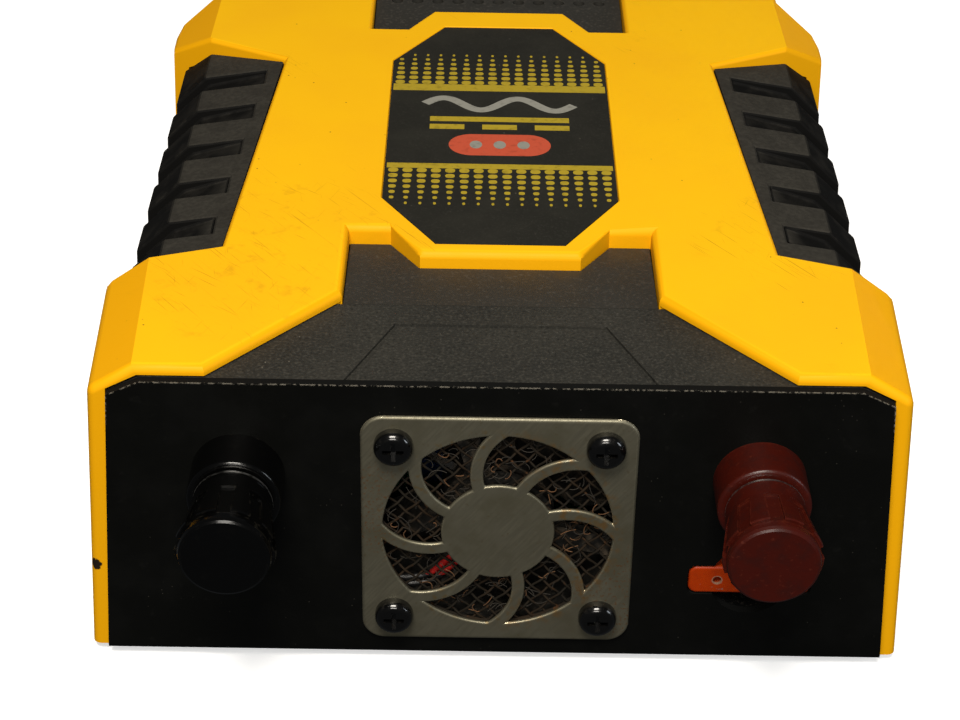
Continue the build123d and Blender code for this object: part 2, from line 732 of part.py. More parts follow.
def post_knob(x):
    """The fluted knob, bored for its brass insert and for the end of the stud."""
    with BuildPart() as knob:
        with BuildSketch(side_plane(x)):
            with Locations((0, post_height)):
                Polygon(*knob_profile, align=None)
        revolve(axis=Axis((x, 0, foot_height + post_height), (0, 1, 0)))
        for i in range(flute_count):
            turn = 360 / flute_count * i + 90
            flute_plane = Plane(
                origin=inside(x, 0, post_height),
                x_dir=(0, 1, 0),
                z_dir=(-sin(radians(turn)), 0, cos(radians(turn))),
            )
            with BuildSketch(flute_plane):
                Polygon(*[(depth, -radius) for depth, radius in flute_floor], align=None)
            extrude(amount=flute_width / 2, both=True, mode=Mode.SUBTRACT)
        with BuildSketch(front_plane(insert_front)):
            with Locations((x, post_height)):
                Circle(insert_radius)
        extrude(amount=-(knob_back - insert_front), mode=Mode.SUBTRACT)
        with BuildSketch(front_plane(stud_front - 0.5)):
            with Locations((x, post_height)):
                Circle(stud_radius + 0.35)
        extrude(amount=-3, mode=Mode.SUBTRACT)
    return knob.part


def post_nuts(x):
    """Behind the panel: a nut, a ring lug whose tail points back, and a second nut."""
    with BuildPart() as nuts:
        for start in (sheet + bush_long, sheet + bush_long + nut_thick + lug_thick):
            with BuildSketch(front_plane(start)):
                with Locations((x, post_height)):
                    RegularPolygon(nut_across / 2, 6, major_radius=False)
                    Circle(post_bore, mode=Mode.SUBTRACT)
            extrude(amount=-nut_thick)
        with BuildSketch(front_plane(sheet + bush_long + nut_thick)):
            with Locations((x, post_height)):
                Circle(lug_radius)
                with Locations((0, -lug_drop / 2)):
                    Rectangle(5.0, lug_drop)
                Circle(post_bore, mode=Mode.SUBTRACT)
        extrude(amount=-lug_thick)
        with BuildSketch(floor_plane(post_height - lug_drop)):
            with Locations((x, (sheet + bush_long + nut_thick + lug_back) / 2)):
                Rectangle(5.0, lug_back - sheet - bush_long - nut_thick)
        extrude(amount=-lug_thick)
    return nuts.part


for colour, x in (("red", post_x), ("black", -post_x)):
    place = (x, post_height)
    post_pieces = {
        "collar": post_collar(x),
        "bush": ring(place, collar_radius, post_bore, sheet, bush_long),
        "stud": post_stud(x),
        "washer": ring(place, washer_radius, post_bore, washer_front, washer_thick),
        "knob": post_knob(x),
        "insert": ring(place, insert_radius, insert_bore, insert_front, knob_back - 0.2 - insert_front),
        "nuts": post_nuts(x),
    }
    for name, piece in post_pieces.items():
        piece.label = f"{colour}_{name}"
        export_step(piece, f"parts/{colour}_{name}.step")

# ---------------------------------------------------------------- fuse and its socket
fuse_head = 4.5
fuse_long = 12.3
waist_width = 15.0
waist_thick = 3.8
blade_x = 4.7
blade_width = 5.1
blade_thick = 0.65
blade_start = 2.6
blade_end = 19.0
test_x = 5.1
test_radius = 0.7
socket_front = sheet + 0.1
socket_back = 22.0
socket_width = 23.0
socket_thick = 9.0
socket_nose = 14.0
clip_front = 13.8
clip_leaf = 0.5
clip_gap = 0.05
tail_end = 27.0

with BuildPart() as fuse_body:
    with BuildSketch(front_plane(0)):
        with Locations((fuse_x, fuse_height)):
            RectangleRounded(fuse_width, fuse_thick, fuse_corner)
    extrude(amount=-fuse_head)
    fillet(fuse_body.edges().group_by(Axis.Y)[0], radius=0.5)
    with BuildSketch(front_plane(fuse_head)):
        with Locations((fuse_x, fuse_height)):
            Rectangle(waist_width, waist_thick)
    extrude(amount=-(fuse_long - fuse_head))
    with BuildSketch(front_plane(blade_start)):
        with Locations((fuse_x - blade_x, fuse_height), (fuse_x + blade_x, fuse_height)):
            Rectangle(blade_width, blade_thick)
    extrude(amount=-fuse_long, mode=Mode.SUBTRACT)
    with BuildSketch(front_plane(0)):
        with Locations((fuse_x - test_x, fuse_height), (fuse_x + test_x, fuse_height)):
            Circle(test_radius)
    extrude(amount=-blade_start, mode=Mode.SUBTRACT)
fuse_body.part.label = "fuse_body"
export_step(fuse_body.part, "parts/fuse_body.step")

with BuildPart() as fuse_blades:
    with BuildSketch(front_plane(blade_start)):
        with Locations((fuse_x - blade_x, fuse_height), (fuse_x + blade_x, fuse_height)):
            Rectangle(blade_width, blade_thick)
    extrude(amount=-(blade_end - blade_start))
fuse_blades.part.label = "fuse_blades"
export_step(fuse_blades.part, "parts/fuse_blades.step")

with BuildPart() as fuse_socket:
    with BuildSketch(front_plane(socket_front)):
        with Locations((fuse_x, fuse_height)):
            RectangleRounded(socket_width, socket_nose, 1.0)
    extrude(amount=-9.0)
    with BuildSketch(front_plane(socket_front)):
        with Locations((fuse_x, fuse_height)):
            Rectangle(socket_width, socket_thick)
    extrude(amount=-(socket_back - socket_front))
    with BuildSketch(front_plane(socket_front)):
        with Locations((fuse_x, fuse_height)):
            Rectangle(fuse_width + 0.6, fuse_thick + 0.6)
            Circle(finger_radius)
    extrude(amount=-(fuse_head + 2.5 - socket_front), mode=Mode.SUBTRACT)
    with BuildSketch(front_plane(socket_front)):
        with Locations((fuse_x, fuse_height)):
            Rectangle(waist_width + 0.8, waist_thick + 0.8)
    extrude(amount=-(fuse_long + 1.0 - socket_front), mode=Mode.SUBTRACT)
    with BuildSketch(front_plane(socket_front)):
        with Locations((fuse_x - blade_x, fuse_height), (fuse_x + blade_x, fuse_height)):
            Rectangle(blade_width + 0.8, 3.0)
    extrude(amount=-(20.6 - socket_front), mode=Mode.SUBTRACT)
    with BuildSketch(front_plane(socket_front)):
        with Locations((fuse_x - blade_x, fuse_height), (fuse_x + blade_x, fuse_height)):
            Rectangle(4.0, 0.8)
    extrude(amount=-(socket_back - socket_front), mode=Mode.SUBTRACT)
fuse_socket.part.label = "fuse_socket"
export_step(fuse_socket.part, "parts/fuse_socket.step")

with BuildPart() as fuse_clips:
    leaf_offset = blade_thick / 2 + clip_gap + clip_leaf / 2
    with BuildSketch(front_plane(clip_front)):
        with Locations((fuse_x - blade_x, fuse_height), (fuse_x + blade_x, fuse_height)):
            with GridLocations(0, 2 * leaf_offset, 1, 2):
                Rectangle(blade_width, clip_leaf)
    extrude(amount=-(20.5 - clip_front))
    with BuildSketch(front_plane(19.8)):
        with Locations((fuse_x - blade_x, fuse_height), (fuse_x + blade_x, fuse_height)):
            Rectangle(blade_width, 2 * leaf_offset)
    extrude(amount=-0.7)
    with BuildSketch(front_plane(20.0)):
        with Locations((fuse_x - blade_x, fuse_height), (fuse_x + blade_x, fuse_height)):
            Rectangle(4.0, 0.8)
    extrude(amount=-(tail_end - 20.0))
fuse_clips.part.label = "fuse_clips"
export_step(fuse_clips.part, "parts/fuse_clips.step")

# ---------------------------------------------------------------- battery leads
lead_radius = 1.9
board_top = board_height + 0.6
lug_under = post_height - lug_drop - lug_thick - lead_radius

lead_red = lead(
    [
        inside(post_x - 1.5, lug_back - 6, lug_under),
        inside(post_x - 1.5, 36, lug_under),
        inside(fuse_x - blade_x, 36, fuse_height),
        inside(fuse_x - blade_x, tail_end, fuse_height),
    ],
    [5.0, 5.0],
    lead_radius,
)
lead_red += lead(
    [
        inside(fuse_x + blade_x, tail_end, fuse_height),
        inside(fuse_x + blade_x, 40, fuse_height),
        inside(fuse_x + blade_x, 50, board_top + lead_radius),
        inside(fuse_x + blade_x, 56, board_top + lead_radius),
    ],
    [10.0, 7.0],
    lead_radius,
)
lead_red.label = "lead_red"
export_step(lead_red, "parts/lead_red.step")

lead_black = lead(
    [
        inside(-post_x, lug_back - 6, lug_under),
        inside(-post_x, 34, lug_under),
        inside(-post_x, 46, board_top + lead_radius),
        inside(-post_x, 56, board_top + lead_radius),
    ],
    [10.0, 7.0],
    lead_radius,
)
lead_black.label = "lead_black"
export_step(lead_black, "parts/lead_black.step")

# ---------------------------------------------------------------- outlets in the rear panel
outlet_reach = 2.0
outlet_deep = 17.0
face_thick = 2.4
slot_x = 6.35
slot_y = 3.6
earth_y = -8.3
contact_start = face_thick + 0.4
contact_end = 12.0


def outlet(x):
    """A two-slot outlet with an earth hole, and a pocket behind each opening for its contact."""
    with BuildPart() as body:
        with BuildSketch(rear_plane(-outlet_reach)):
            with Locations((x, outlet_height)):
                RectangleRounded(28.0, 36.0, 4.0)
        extrude(amount=-outlet_reach)
        fillet(body.edges().group_by(Axis.Y)[-1], radius=0.8)
        with BuildSketch(rear_plane(0)):
            with Locations((x, outlet_height)):
                RectangleRounded(24.6, 31.6, 2.8)
        extrude(amount=-outlet_deep)
        with BuildSketch(rear_plane(-outlet_reach)):
            with Locations((x - slot_x, outlet_height + slot_y)):
                Rectangle(1.8, 6.6)
            with Locations((x + slot_x, outlet_height + slot_y)):
                Rectangle(1.8, 8.2)
            with Locations((x, outlet_height + earth_y)):
                Circle(2.5)
        extrude(amount=-(outlet_reach + face_thick), mode=Mode.SUBTRACT)
        with BuildSketch(rear_plane(face_thick)):
            with Locations((x - slot_x, outlet_height + slot_y), (x + slot_x, outlet_height + slot_y)):
                Rectangle(4.2, 9.2)
            with Locations((x, outlet_height + earth_y)):
                Circle(3.4)
        extrude(amount=-(outlet_deep - face_thick), mode=Mode.SUBTRACT)
    return body.part


for name, x in zip(("outlet_right", "outlet_left"), outlet_places):
    piece = outlet(x)
    piece.label = name
    export_step(piece, f"parts/{name}.step")

with BuildPart() as outlet_contacts:
    for x in outlet_places:
        with BuildSketch(rear_plane(contact_start)):
            with Locations((x - slot_x, outlet_height + slot_y), (x + slot_x, outlet_height + slot_y)):
                Rectangle(3.6, 8.6)
                Rectangle(1.7, 8.6, mode=Mode.SUBTRACT)
            with Locations((x, outlet_height + earth_y)):
                Circle(3.2)
                Circle(2.4, mode=Mode.SUBTRACT)
        extrude(amount=-(contact_end - contact_start))
        with BuildSketch(rear_plane(contact_end)):
            with Locations((x - slot_x, outlet_height + slot_y), (x + slot_x, outlet_height + slot_y)):
                Rectangle(3.6, 8.6)
            with Locations((x, outlet_height + earth_y)):
                Circle(3.2)
        extrude(amount=-1.0)
outlet_contacts.part.label = "outlet_contacts"
export_step(outlet_contacts.part, "parts/outlet_contacts.step")

output_lead_radius = 1.1
contact_back = case_length - contact_end - 1.0
output_leads = Part()
for x in outlet_places:
    for side in (-slot_x, slot_x):
        lead_x = -(x + side)
        output_leads += lead(
            [
                inside(lead_x, contact_back, outlet_height + slot_y),
                inside(lead_x, 146, outlet_height + slot_y),
                inside(lead_x, 146, board_top),
            ],
            [5.0],
            output_lead_radius,
        )
output_leads.label = "output_leads"
export_step(output_leads, "parts/output_leads.step")

# ---------------------------------------------------------------- rocker switch
bezel_width = 15.0
bezel_height = 21.0
bezel_reach = 2.0
cavity_width = 11.2
cavity_half = 8.4
rocker_tilt = 8.0  # degrees each side of level
rocker_axis_depth = 2.0
rocker_end_radius = 8.1
rocker_edge = 3.18  # from the panel's face out to the level rocker's ends
rocker_valley = 1.7
rocker_width = cavity_width - 0.6
pin_radius = 1.0
pin_span = 12.4

with BuildPart() as switch_housing:
    with BuildSketch(rear_plane(-bezel_reach)):
        with Locations((switch_x, switch_height)):
            RectangleRounded(bezel_width, bezel_height, 1.5)
    extrude(amount=-bezel_reach)
    fillet(switch_housing.edges().group_by(Axis.Y)[-1], radius=0.7)
    with BuildSketch(rear_plane(0)):
        with Locations((switch_x, switch_height)):
            Rectangle(12.9, 18.9)
    extrude(amount=-13.0)
    with BuildSketch(rear_plane(-bezel_reach)):
        with Locations((switch_x, switch_height)):
            Rectangle(cavity_width, 2 * cavity_half)
    extrude(amount=-(bezel_reach + 9.0), mode=Mode.SUBTRACT)
    with BuildSketch(side_plane(-switch_x)):
        with Locations((case_length - rocker_axis_depth, switch_height)):
            Circle(pin_radius + 0.05)
    extrude(amount=pin_span / 2 + 0.1, both=True, mode=Mode.SUBTRACT)
    with BuildSketch(rear_plane(13.0)):
        with Locations((switch_x, switch_height)):
            with GridLocations(0, 7.0, 1, 2):
                Rectangle(4.8, 0.8)
    extrude(amount=-7.0)
switch_housing.part.label = "switch_housing"
export_step(switch_housing.part, "parts/switch_housing.step")

rocker_half = sqrt(rocker_end_radius**2 - (rocker_edge + rocker_axis_depth) ** 2)
rocker_axis = Axis((-switch_x, rear_y - rocker_axis_depth, foot_height + switch_height), (1, 0, 0))
with BuildPart() as switch_rocker:
    with BuildSketch(side_plane(-switch_x)):
        with Locations((case_length, switch_height)):
            Polygon(
                (rocker_edge, -rocker_half),
                (rocker_valley, 0),
                (rocker_edge, rocker_half),
                (rocker_edge, rocker_end_radius + 1),
                (-rocker_axis_depth - 2.0, rocker_end_radius + 1),
                (-rocker_axis_depth - 2.0, -rocker_end_radius - 1),
                (rocker_edge, -rocker_end_radius - 1),
                align=None,
            )
        with Locations((case_length - rocker_axis_depth, switch_height)):
            Circle(rocker_end_radius, mode=Mode.INTERSECT)
    extrude(amount=rocker_width / 2, both=True)
    with BuildSketch(side_plane(-switch_x)):
        with Locations((case_length - rocker_axis_depth, switch_height)):
            Circle(pin_radius)
    extrude(amount=pin_span / 2, both=True)
switch_rocker = switch_rocker.part.rotate(rocker_axis, -rocker_tilt)
switch_rocker.label = "switch_rocker"
export_step(switch_rocker, "parts/switch_rocker.step")

# ---------------------------------------------------------------- charging port and lamps
usb_width = 13.2
usb_tall = 5.8
usb_wall = 0.35

with BuildPart() as usb_shell:
    with BuildSketch(rear_plane(-0.4)):
        with Locations((usb_x, usb_height)):
            Rectangle(usb_width, usb_tall)
    extrude(amount=-14.4)
    with BuildSketch(rear_plane(-0.4)):
        with Locations((usb_x, usb_height)):
            Rectangle(usb_width - 2 * usb_wall, usb_tall - 2 * usb_wall)
    extrude(amount=-(14.4 - usb_wall), mode=Mode.SUBTRACT)
usb_shell.part.label = "usb_shell"
export_step(usb_shell.part, "parts/usb_shell.step")

with BuildPart() as usb_tongue:
    with BuildSketch(rear_plane(9.0)):
        with Locations((usb_x, usb_height)):
            Rectangle(usb_width - 2 * usb_wall, usb_tall - 2 * usb_wall)
    extrude(amount=-4.5)
    with BuildSketch(rear_plane(0.8)):
        with Locations((usb_x, usb_height + 1.0)):
            Rectangle(11.1, 1.84)
    extrude(amount=-8.2)
usb_tongue.part.label = "usb_tongue"
export_step(usb_tongue.part, "parts/usb_tongue.step")

for name, height in led_heights.items():
    with BuildPart() as lamp:
        with BuildSketch(rear_plane(-1.9)):
            with Locations((led_x, height)):
                Circle(2.5)
        extrude(amount=-7.9)
        fillet(lamp.edges().group_by(Axis.Y)[-1], radius=2.2)
    lamp.part.label = name
    export_step(lamp.part, f"parts/{name}.step")

# ---------------------------------------------------------------- main board
board_half = 49.0
board_front = 26.0
board_back = 150.0
board_base = board_top - 1.6
support_places = [(-40.0, 31.0), (40.0, 31.0), (-44.0, 146.0), (44.0, 146.0)]

with BuildPart() as main_board:
    with BuildSketch(floor_plane(board_base)):
        with Locations((0, (board_front + board_back) / 2)):
            Rectangle(2 * board_half, board_back - board_front)
        with Locations(*support_places):
            Circle(1.6, mode=Mode.SUBTRACT)
    extrude(amount=board_top - board_base)
main_board.part.label = "main_board"
export_step(main_board.part, "parts/main_board.step")

with BuildPart() as board_supports:
    with BuildSketch(floor_plane(sheet)):
        with Locations(*support_places):
            RegularPolygon(2.75, 6, major_radius=False)
            Circle(1.5, mode=Mode.SUBTRACT)
    extrude(amount=board_base - sheet)
    with BuildSketch(floor_plane(board_top)):
        with Locations(*support_places):
            Circle(2.8)
    extrude(amount=1.6)
    with BuildSketch(floor_plane(board_top)):
        with Locations(*support_places):
            Circle(1.5)
    extrude(amount=-(board_top - board_base + 2.0))
board_supports.part.label = "board_supports"
export_step(board_supports.part, "parts/board_supports.step")

# ---------------------------------------------------------------- transformer and filter parts
core_width = 42.0
core_tall = 34.0
core_deep = 15.0
core_window = 9.0
core_middle = 80.0
core_base = board_top + 0.6
window_tall = 22.0

with BuildPart() as transformer_core:
    with BuildSketch(front_plane(core_middle - core_deep / 2)):
        with Locations((0, core_base + core_tall / 2)):
            Rectangle(core_width, core_tall)
            with GridLocations(core_width / 2 + core_window / 2 - 1.5, 0, 2, 1):
                Rectangle(core_window, window_tall, mode=Mode.SUBTRACT)
    extrude(amount=-core_deep)
transformer_core.part.label = "transformer_core"
export_step(transformer_core.part, "parts/transformer_core.step")

leg_width = core_width / 2 + core_window / 2 - 1.5 - core_window
with BuildPart() as transformer_winding:
    with BuildSketch(floor_plane(core_base + (core_tall - window_tall) / 2 + 0.4)):
        with Locations((0, core_middle)):
            RectangleRounded(leg_width + 2 * core_window - 1.0, core_deep + 2 * core_window, 3.5)
            Rectangle(leg_width + 0.6, core_deep + 0.6, mode=Mode.SUBTRACT)
    extrude(amount=window_tall - 0.8)
transformer_winding.part.label = "transformer_winding"
export_step(transformer_winding.part, "parts/transformer_winding.step")

with BuildPart() as input_capacitors:
    with BuildSketch(floor_plane(board_top)):
        with Locations((-9.0, 43.0), (9.0, 43.0)):
            Circle(6.5)
    extrude(amount=25)
    fillet(input_capacitors.edges().group_by(Axis.Z)[-1], radius=0.8)
input_capacitors.part.label = "input_capacitors"
export_step(input_capacitors.part, "parts/input_capacitors.step")

with BuildPart() as bus_capacitor:
    with BuildSketch(floor_plane(board_top)):
        with Locations((20.0, 120.0)):
            Circle(11.0)
    extrude(amount=30)
    fillet(bus_capacitor.edges().group_by(Axis.Z)[-1], radius=1.0)
bus_capacitor.part.label = "bus_capacitor"
export_step(bus_capacitor.part, "parts/bus_capacitor.step")

with BuildPart() as choke:
    with BuildSketch(floor_plane(board_top)):
        with Locations((-18.0, 120.0)):
            Circle(12.0)
            Circle(5.5, mode=Mode.SUBTRACT)
    extrude(amount=10)
    fillet(choke.edges().group_by(Axis.Z)[-1], radius=2.0)
choke.part.label = "choke"
export_step(choke.part, "parts/choke.step")

# ---------------------------------------------------------------- heat sinks and power transistors
sink_x = 40.0
sink_base = 3.0
fin_long = 5.0
fin_thick = 1.2
sink_tall = 30.0
sink_runs = [(60.0, 98.0, (68.0, 79.0, 90.0)), (104.0, 140.0, (115.0, 129.0))]
case_thick = 4.4

with BuildPart() as heat_sinks:
    for start, end, _ in sink_runs:
        with BuildSketch(front_plane(start)):
            for side in (-1, 1):
                with Locations((side * (sink_x + sink_base / 2), board_top + 1 + sink_tall / 2)):
                    Rectangle(sink_base, sink_tall)
                with Locations((side * (sink_x + sink_base + fin_long / 2), board_top + 1 + sink_tall / 2)):
                    with GridLocations(0, (sink_tall - fin_thick) / 5, 1, 6):
                        Rectangle(fin_long, fin_thick)
        extrude(amount=-(end - start))
heat_sinks.part.label = "heat_sinks"
export_step(heat_sinks.part, "parts/heat_sinks.step")

with BuildPart() as power_transistors:
    for side in (-1, 1):
        middle_x = side * (sink_x - case_thick / 2)
        places = [(middle_x, place) for run in sink_runs for place in run[2]]
        with BuildSketch(floor_plane(board_top + 6)):
            with Locations(*places):
                Rectangle(case_thick, 10.0)
        extrude(amount=15)
        with BuildSketch(floor_plane(board_top)):
            with Locations(*places):
                with GridLocations(0, 2.54, 1, 3):
                    Rectangle(0.5, 0.9)
        extrude(amount=6)
power_transistors.part.label = "power_transistors"
export_step(power_transistors.part, "parts/power_transistors.step")
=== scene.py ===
import math
import random

import bmesh
import bpy
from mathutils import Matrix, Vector


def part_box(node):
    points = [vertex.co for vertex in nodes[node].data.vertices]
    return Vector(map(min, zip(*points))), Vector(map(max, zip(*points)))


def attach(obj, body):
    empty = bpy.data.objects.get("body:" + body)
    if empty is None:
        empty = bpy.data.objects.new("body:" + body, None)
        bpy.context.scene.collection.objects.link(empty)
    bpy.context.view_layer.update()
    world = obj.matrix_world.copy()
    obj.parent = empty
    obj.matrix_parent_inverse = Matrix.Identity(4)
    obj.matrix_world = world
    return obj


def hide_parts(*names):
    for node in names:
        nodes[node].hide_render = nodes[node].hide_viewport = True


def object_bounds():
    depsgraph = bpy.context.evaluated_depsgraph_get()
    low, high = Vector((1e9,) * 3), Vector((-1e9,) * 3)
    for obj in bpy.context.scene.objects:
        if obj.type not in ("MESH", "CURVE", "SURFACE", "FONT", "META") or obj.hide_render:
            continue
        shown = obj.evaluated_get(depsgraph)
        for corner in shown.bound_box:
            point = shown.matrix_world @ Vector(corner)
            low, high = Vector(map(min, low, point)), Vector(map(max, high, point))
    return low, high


# The looks of a compact power inverter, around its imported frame. Metres, in the row frame:
# the terminal end faces -Y, +Z is up, and the object stands on Z = 0. Colours are linear.

MM = 0.001
DUST = (0.16, 0.14, 0.115)
STEEL = (0.56, 0.55, 0.53)

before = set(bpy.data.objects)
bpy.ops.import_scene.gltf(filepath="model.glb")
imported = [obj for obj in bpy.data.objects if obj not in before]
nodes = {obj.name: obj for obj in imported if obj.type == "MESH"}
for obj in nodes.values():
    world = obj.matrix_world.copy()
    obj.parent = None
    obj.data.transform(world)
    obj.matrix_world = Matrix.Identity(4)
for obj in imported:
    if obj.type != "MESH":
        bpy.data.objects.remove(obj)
cad_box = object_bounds()
roof = cad_box[1].z
scene = bpy.context.scene


# ---------------------------------------------------------------- material kit
# A Mix node repeats its sockets for each type of data, so they go by place: two inputs, one output.
MIX_SOCKETS = {"FLOAT": (2, 3, 0), "RGBA": (6, 7, 2)}
NOISE_ROUGHNESS = 0.55


class Finish:
    """A Principled material, and the few node patterns that the finishes here are made of.

    A mask is a node output that is 1 where something shows and 0 elsewhere.
    """

    def __init__(self, name, colour, roughness, metallic=0.0, **sockets):
        self.material = bpy.data.materials.new(name)
        self.material.use_nodes = True
        self.tree = self.material.node_tree
        self.shader = self.tree.nodes["Principled BSDF"]
        self.place = self.add("TexCoord").outputs["Object"]
        self.colour = (*colour, 1.0)
        self.roughness = roughness
        self.normal = None
        self.shader.inputs["Metallic"].default_value = metallic
        for socket, value in sockets.items():
            self.shader.inputs[socket.replace("_", " ")].default_value = value

    def add(self, kind, **settings):
        node = self.tree.nodes.new("ShaderNode" + kind)
        for key, value in settings.items():
            setattr(node, key, value)
        return node

    def feed(self, socket, value):
        """Give a socket a number, a colour or another node's output."""
        if isinstance(value, bpy.types.NodeSocket):
            self.tree.links.new(value, socket)
        elif socket.type == "RGBA" and len(value) == 3:
            socket.default_value = (*value, 1.0)
        else:
            socket.default_value = value

    def math(self, operation, *values):
        node = self.add("Math", operation=operation)
        for socket, value in zip(node.inputs, values):
            self.feed(socket, value)
        return node.outputs[0]

    def step(self, value, low, high, top=1.0):
        """0 at low, rising smoothly to `top` at high. High may be the smaller one."""
        node = self.add("MapRange", interpolation_type="SMOOTHSTEP")
        self.feed(node.inputs["Value"], value)
        self.feed(node.inputs["From Min"], low)
        self.feed(node.inputs["From Max"], high)
        self.feed(node.inputs["To Max"], top)
        return node.outputs["Result"]

    def both(self, *masks):
        """1 where every mask is 1."""
        result = masks[0]
        for mask in masks[1:]:
            result = self.math("MULTIPLY", result, mask)
        return result

    def turned(self, angle, stretch, axis="Z"):
        """The object's coordinates, turned about an axis and then stretched."""
        spin = self.add("VectorRotate", rotation_type=axis + "_AXIS")
        self.feed(spin.inputs["Vector"], self.place)
        self.feed(spin.inputs["Angle"], angle)
        scale = self.add("Mapping")
        self.feed(scale.inputs["Vector"], spin.outputs[0])
        self.feed(scale.inputs["Scale"], stretch)
        return scale.outputs[0]

    def noise(self, size, detail=3.0, place=None):
        """Noise whose lumps are about `size` metres across."""
        node = self.add("TexNoise")
        self.feed(node.inputs["Vector"], place or self.place)
        self.feed(node.inputs["Scale"], 1.0 / size)
        self.feed(node.inputs["Detail"], detail)
        self.feed(node.inputs["Roughness"], NOISE_ROUGHNESS)
        return node.outputs["Fac"]

    def patches(self, size, low, high, top=1.0, detail=3.0):
        """Ragged patches, where noise rises from low to high."""
        return self.step(self.noise(size, detail), low, high, top)

    def specks(self, spacing, outer, inner, top=1.0):
        """Scattered round specks. Their radii are shares of the spacing."""
        node = self.add("TexVoronoi")
        self.feed(node.inputs["Vector"], self.place)
        self.feed(node.inputs["Scale"], 1.0 / spacing)
        return self.step(node.outputs["Distance"], outer, inner, top)

    def streaks(self, angle, length, width, low, high, top):
        """Short thin lines in one level direction."""
        place = self.turned(angle, (1 / length, 1 / width, 1 / length))
        return self.step(self.noise(1.0, detail=1.5, place=place), low, high, top)

    def drawn(self, angle, length, width, axis="Z"):
        """Noise in fine lines that all run one way, as drawing and rolling leave on metal."""
        return self.noise(1.0, place=self.turned(angle, (1 / length, 1 / width, 1 / width), axis))

    def axis(self, letter):
        """A coordinate of the surface point."""
        node = self.add("SeparateXYZ")
        self.feed(node.inputs[0], self.place)
        return node.outputs[letter]

    def beyond(self, letter, low, high):
        """1 where a coordinate has passed from low to high."""
        return self.step(self.axis(letter), low, high)

    def facing(self, letter, low, high):
        """1 where the surface normal's part along an axis has passed from low to high."""
        node = self.add("SeparateXYZ")
        self.feed(node.inputs[0], self.add("NewGeometry").outputs["Normal"])
        return self.step(node.outputs[letter], low, high)

    def within(self, value, half, blur=0.1 * MM):
        """1 where a value is nearer to zero than half."""
        return self.step(self.math("ABSOLUTE", value), half, half - blur)

    def distance(self, point):
        node = self.add("VectorMath", operation="DISTANCE")
        self.feed(node.inputs[0], self.place)
        self.feed(node.inputs[1], point)
        return node.outputs["Value"]

    def near(self, point, radius, ragged, grain=1 * MM):
        """1 within a radius of a point, with an edge that noise makes ragged."""
        wobble = self.math("MULTIPLY_ADD", self.noise(grain), 2 * ragged, -ragged)
        return self.step(self.math("ADD", self.distance(point), wobble), radius, radius * 0.75)

    def edge(self, width, low=0.02, high=0.2):
        """1 along edges and corners, where a rounded edge's normal would differ from the face's."""
        bevel = self.add("Bevel", samples=4)
        self.feed(bevel.inputs["Radius"], width)
        across = self.add("VectorMath", operation="DOT_PRODUCT")
        self.feed(across.inputs[0], bevel.outputs[0])
        self.feed(across.inputs[1], self.add("NewGeometry").outputs["Normal"])
        return self.step(self.math("SUBTRACT", 1.0, across.outputs["Value"]), low, high)

    def blend(self, kind, mask, below, above):
        """One value, or another where the mask is 1."""
        first, second, result = MIX_SOCKETS[kind]
        mix = self.add("Mix", data_type=kind)
        self.feed(mix.inputs["Factor"], mask)
        self.feed(mix.inputs[first], below)
        self.feed(mix.inputs[second], above)
        return mix.outputs[result]

    def paint(self, mask, colour, roughness=None):
        """Lay another colour, and if given another roughness, where the mask is 1."""
        self.colour = self.blend("RGBA", mask, self.colour, colour)
        if roughness is not None:
            self.dull(mask, roughness)

    def dull(self, mask, roughness):
        """Lay another roughness where the mask is 1."""
        self.roughness = self.blend("FLOAT", mask, self.roughness, roughness)

    def relief(self, height, depth):
        """Surface relief of about `depth` metres."""
        bump = self.add("Bump")
        self.feed(bump.inputs["Distance"], depth)
        self.feed(bump.inputs["Height"], height)
        self.normal = bump.outputs[0]

    def done(self):
        """Join what was built to the shader, and give the material."""
        self.feed(self.shader.inputs["Base Color"], self.colour)
        self.feed(self.shader.inputs["Roughness"], self.roughness)
        if self.normal is not None:
            self.feed(self.shader.inputs["Normal"], self.normal)
        return self.material


def shade(colour, share):
    return [share * part for part in colour]


def plastic(name, colour, roughness=0.4, grain=0.25 * MM, depth=0.01 * MM, dust=0.2, **sockets):
    """Moulded plastic: a fine skin, uneven gloss and a little dust where it faces up."""
    made = Finish(name, colour, roughness, **{"Specular_IOR_Level": 0.3, **sockets})
    made.dull(made.patches(6 * MM, 0.35, 0.7), min(roughness + 0.14, 1.0))
    settled = made.both(made.patches(0.6 * MM, 0.5, 0.8, dust, detail=6),
                        made.facing("Z", 0.2, 0.9))
    made.paint(settled, DUST, 0.85)
    made.relief(made.noise(grain), depth)
    return made


def metal(name, colour, roughness=0.3, tint=None):
    """Bare or plated metal, with fine drawn lines and a tint in patches."""
    made = Finish(name, colour, roughness, metallic=1.0)
    lines = made.drawn(0.0, 4.8 * MM, 0.4 * MM)
    made.dull(made.step(lines, 0.35, 0.65), roughness + 0.15)
    made.paint(made.patches(4 * MM, 0.42, 0.7, detail=5), tint or shade(colour, 0.8))
    made.relief(lines, 0.006 * MM)
    return made


# ---------------------------------------------------------------- finishes, outside
# The front panel's cut corners start this far from its middle, and its wear this high.
CORNER_START = 52 * MM
WEAR_START = 44 * MM
# The cover's worst scuffs: a place, a radius and how ragged they are. The nick is in a side wall.
SCUFFS = ((Vector((-36, -42, 52)) * MM, 30 * MM, 7 * MM),
          (Vector((46, -34, 52)) * MM, 16 * MM, 6 * MM))
NICK = Vector((-62.9, -74.8, 17.3)) * MM
# Four families of scratches: direction, length, width and how rare they are.
SCRATCHES = ((0.95, 14 * MM, 0.26 * MM, 0.645), (0.7, 9 * MM, 0.2 * MM, 0.665),
             (-1.2, 8 * MM, 0.2 * MM, 0.70), (1.4, 6 * MM, 0.16 * MM, 0.70))
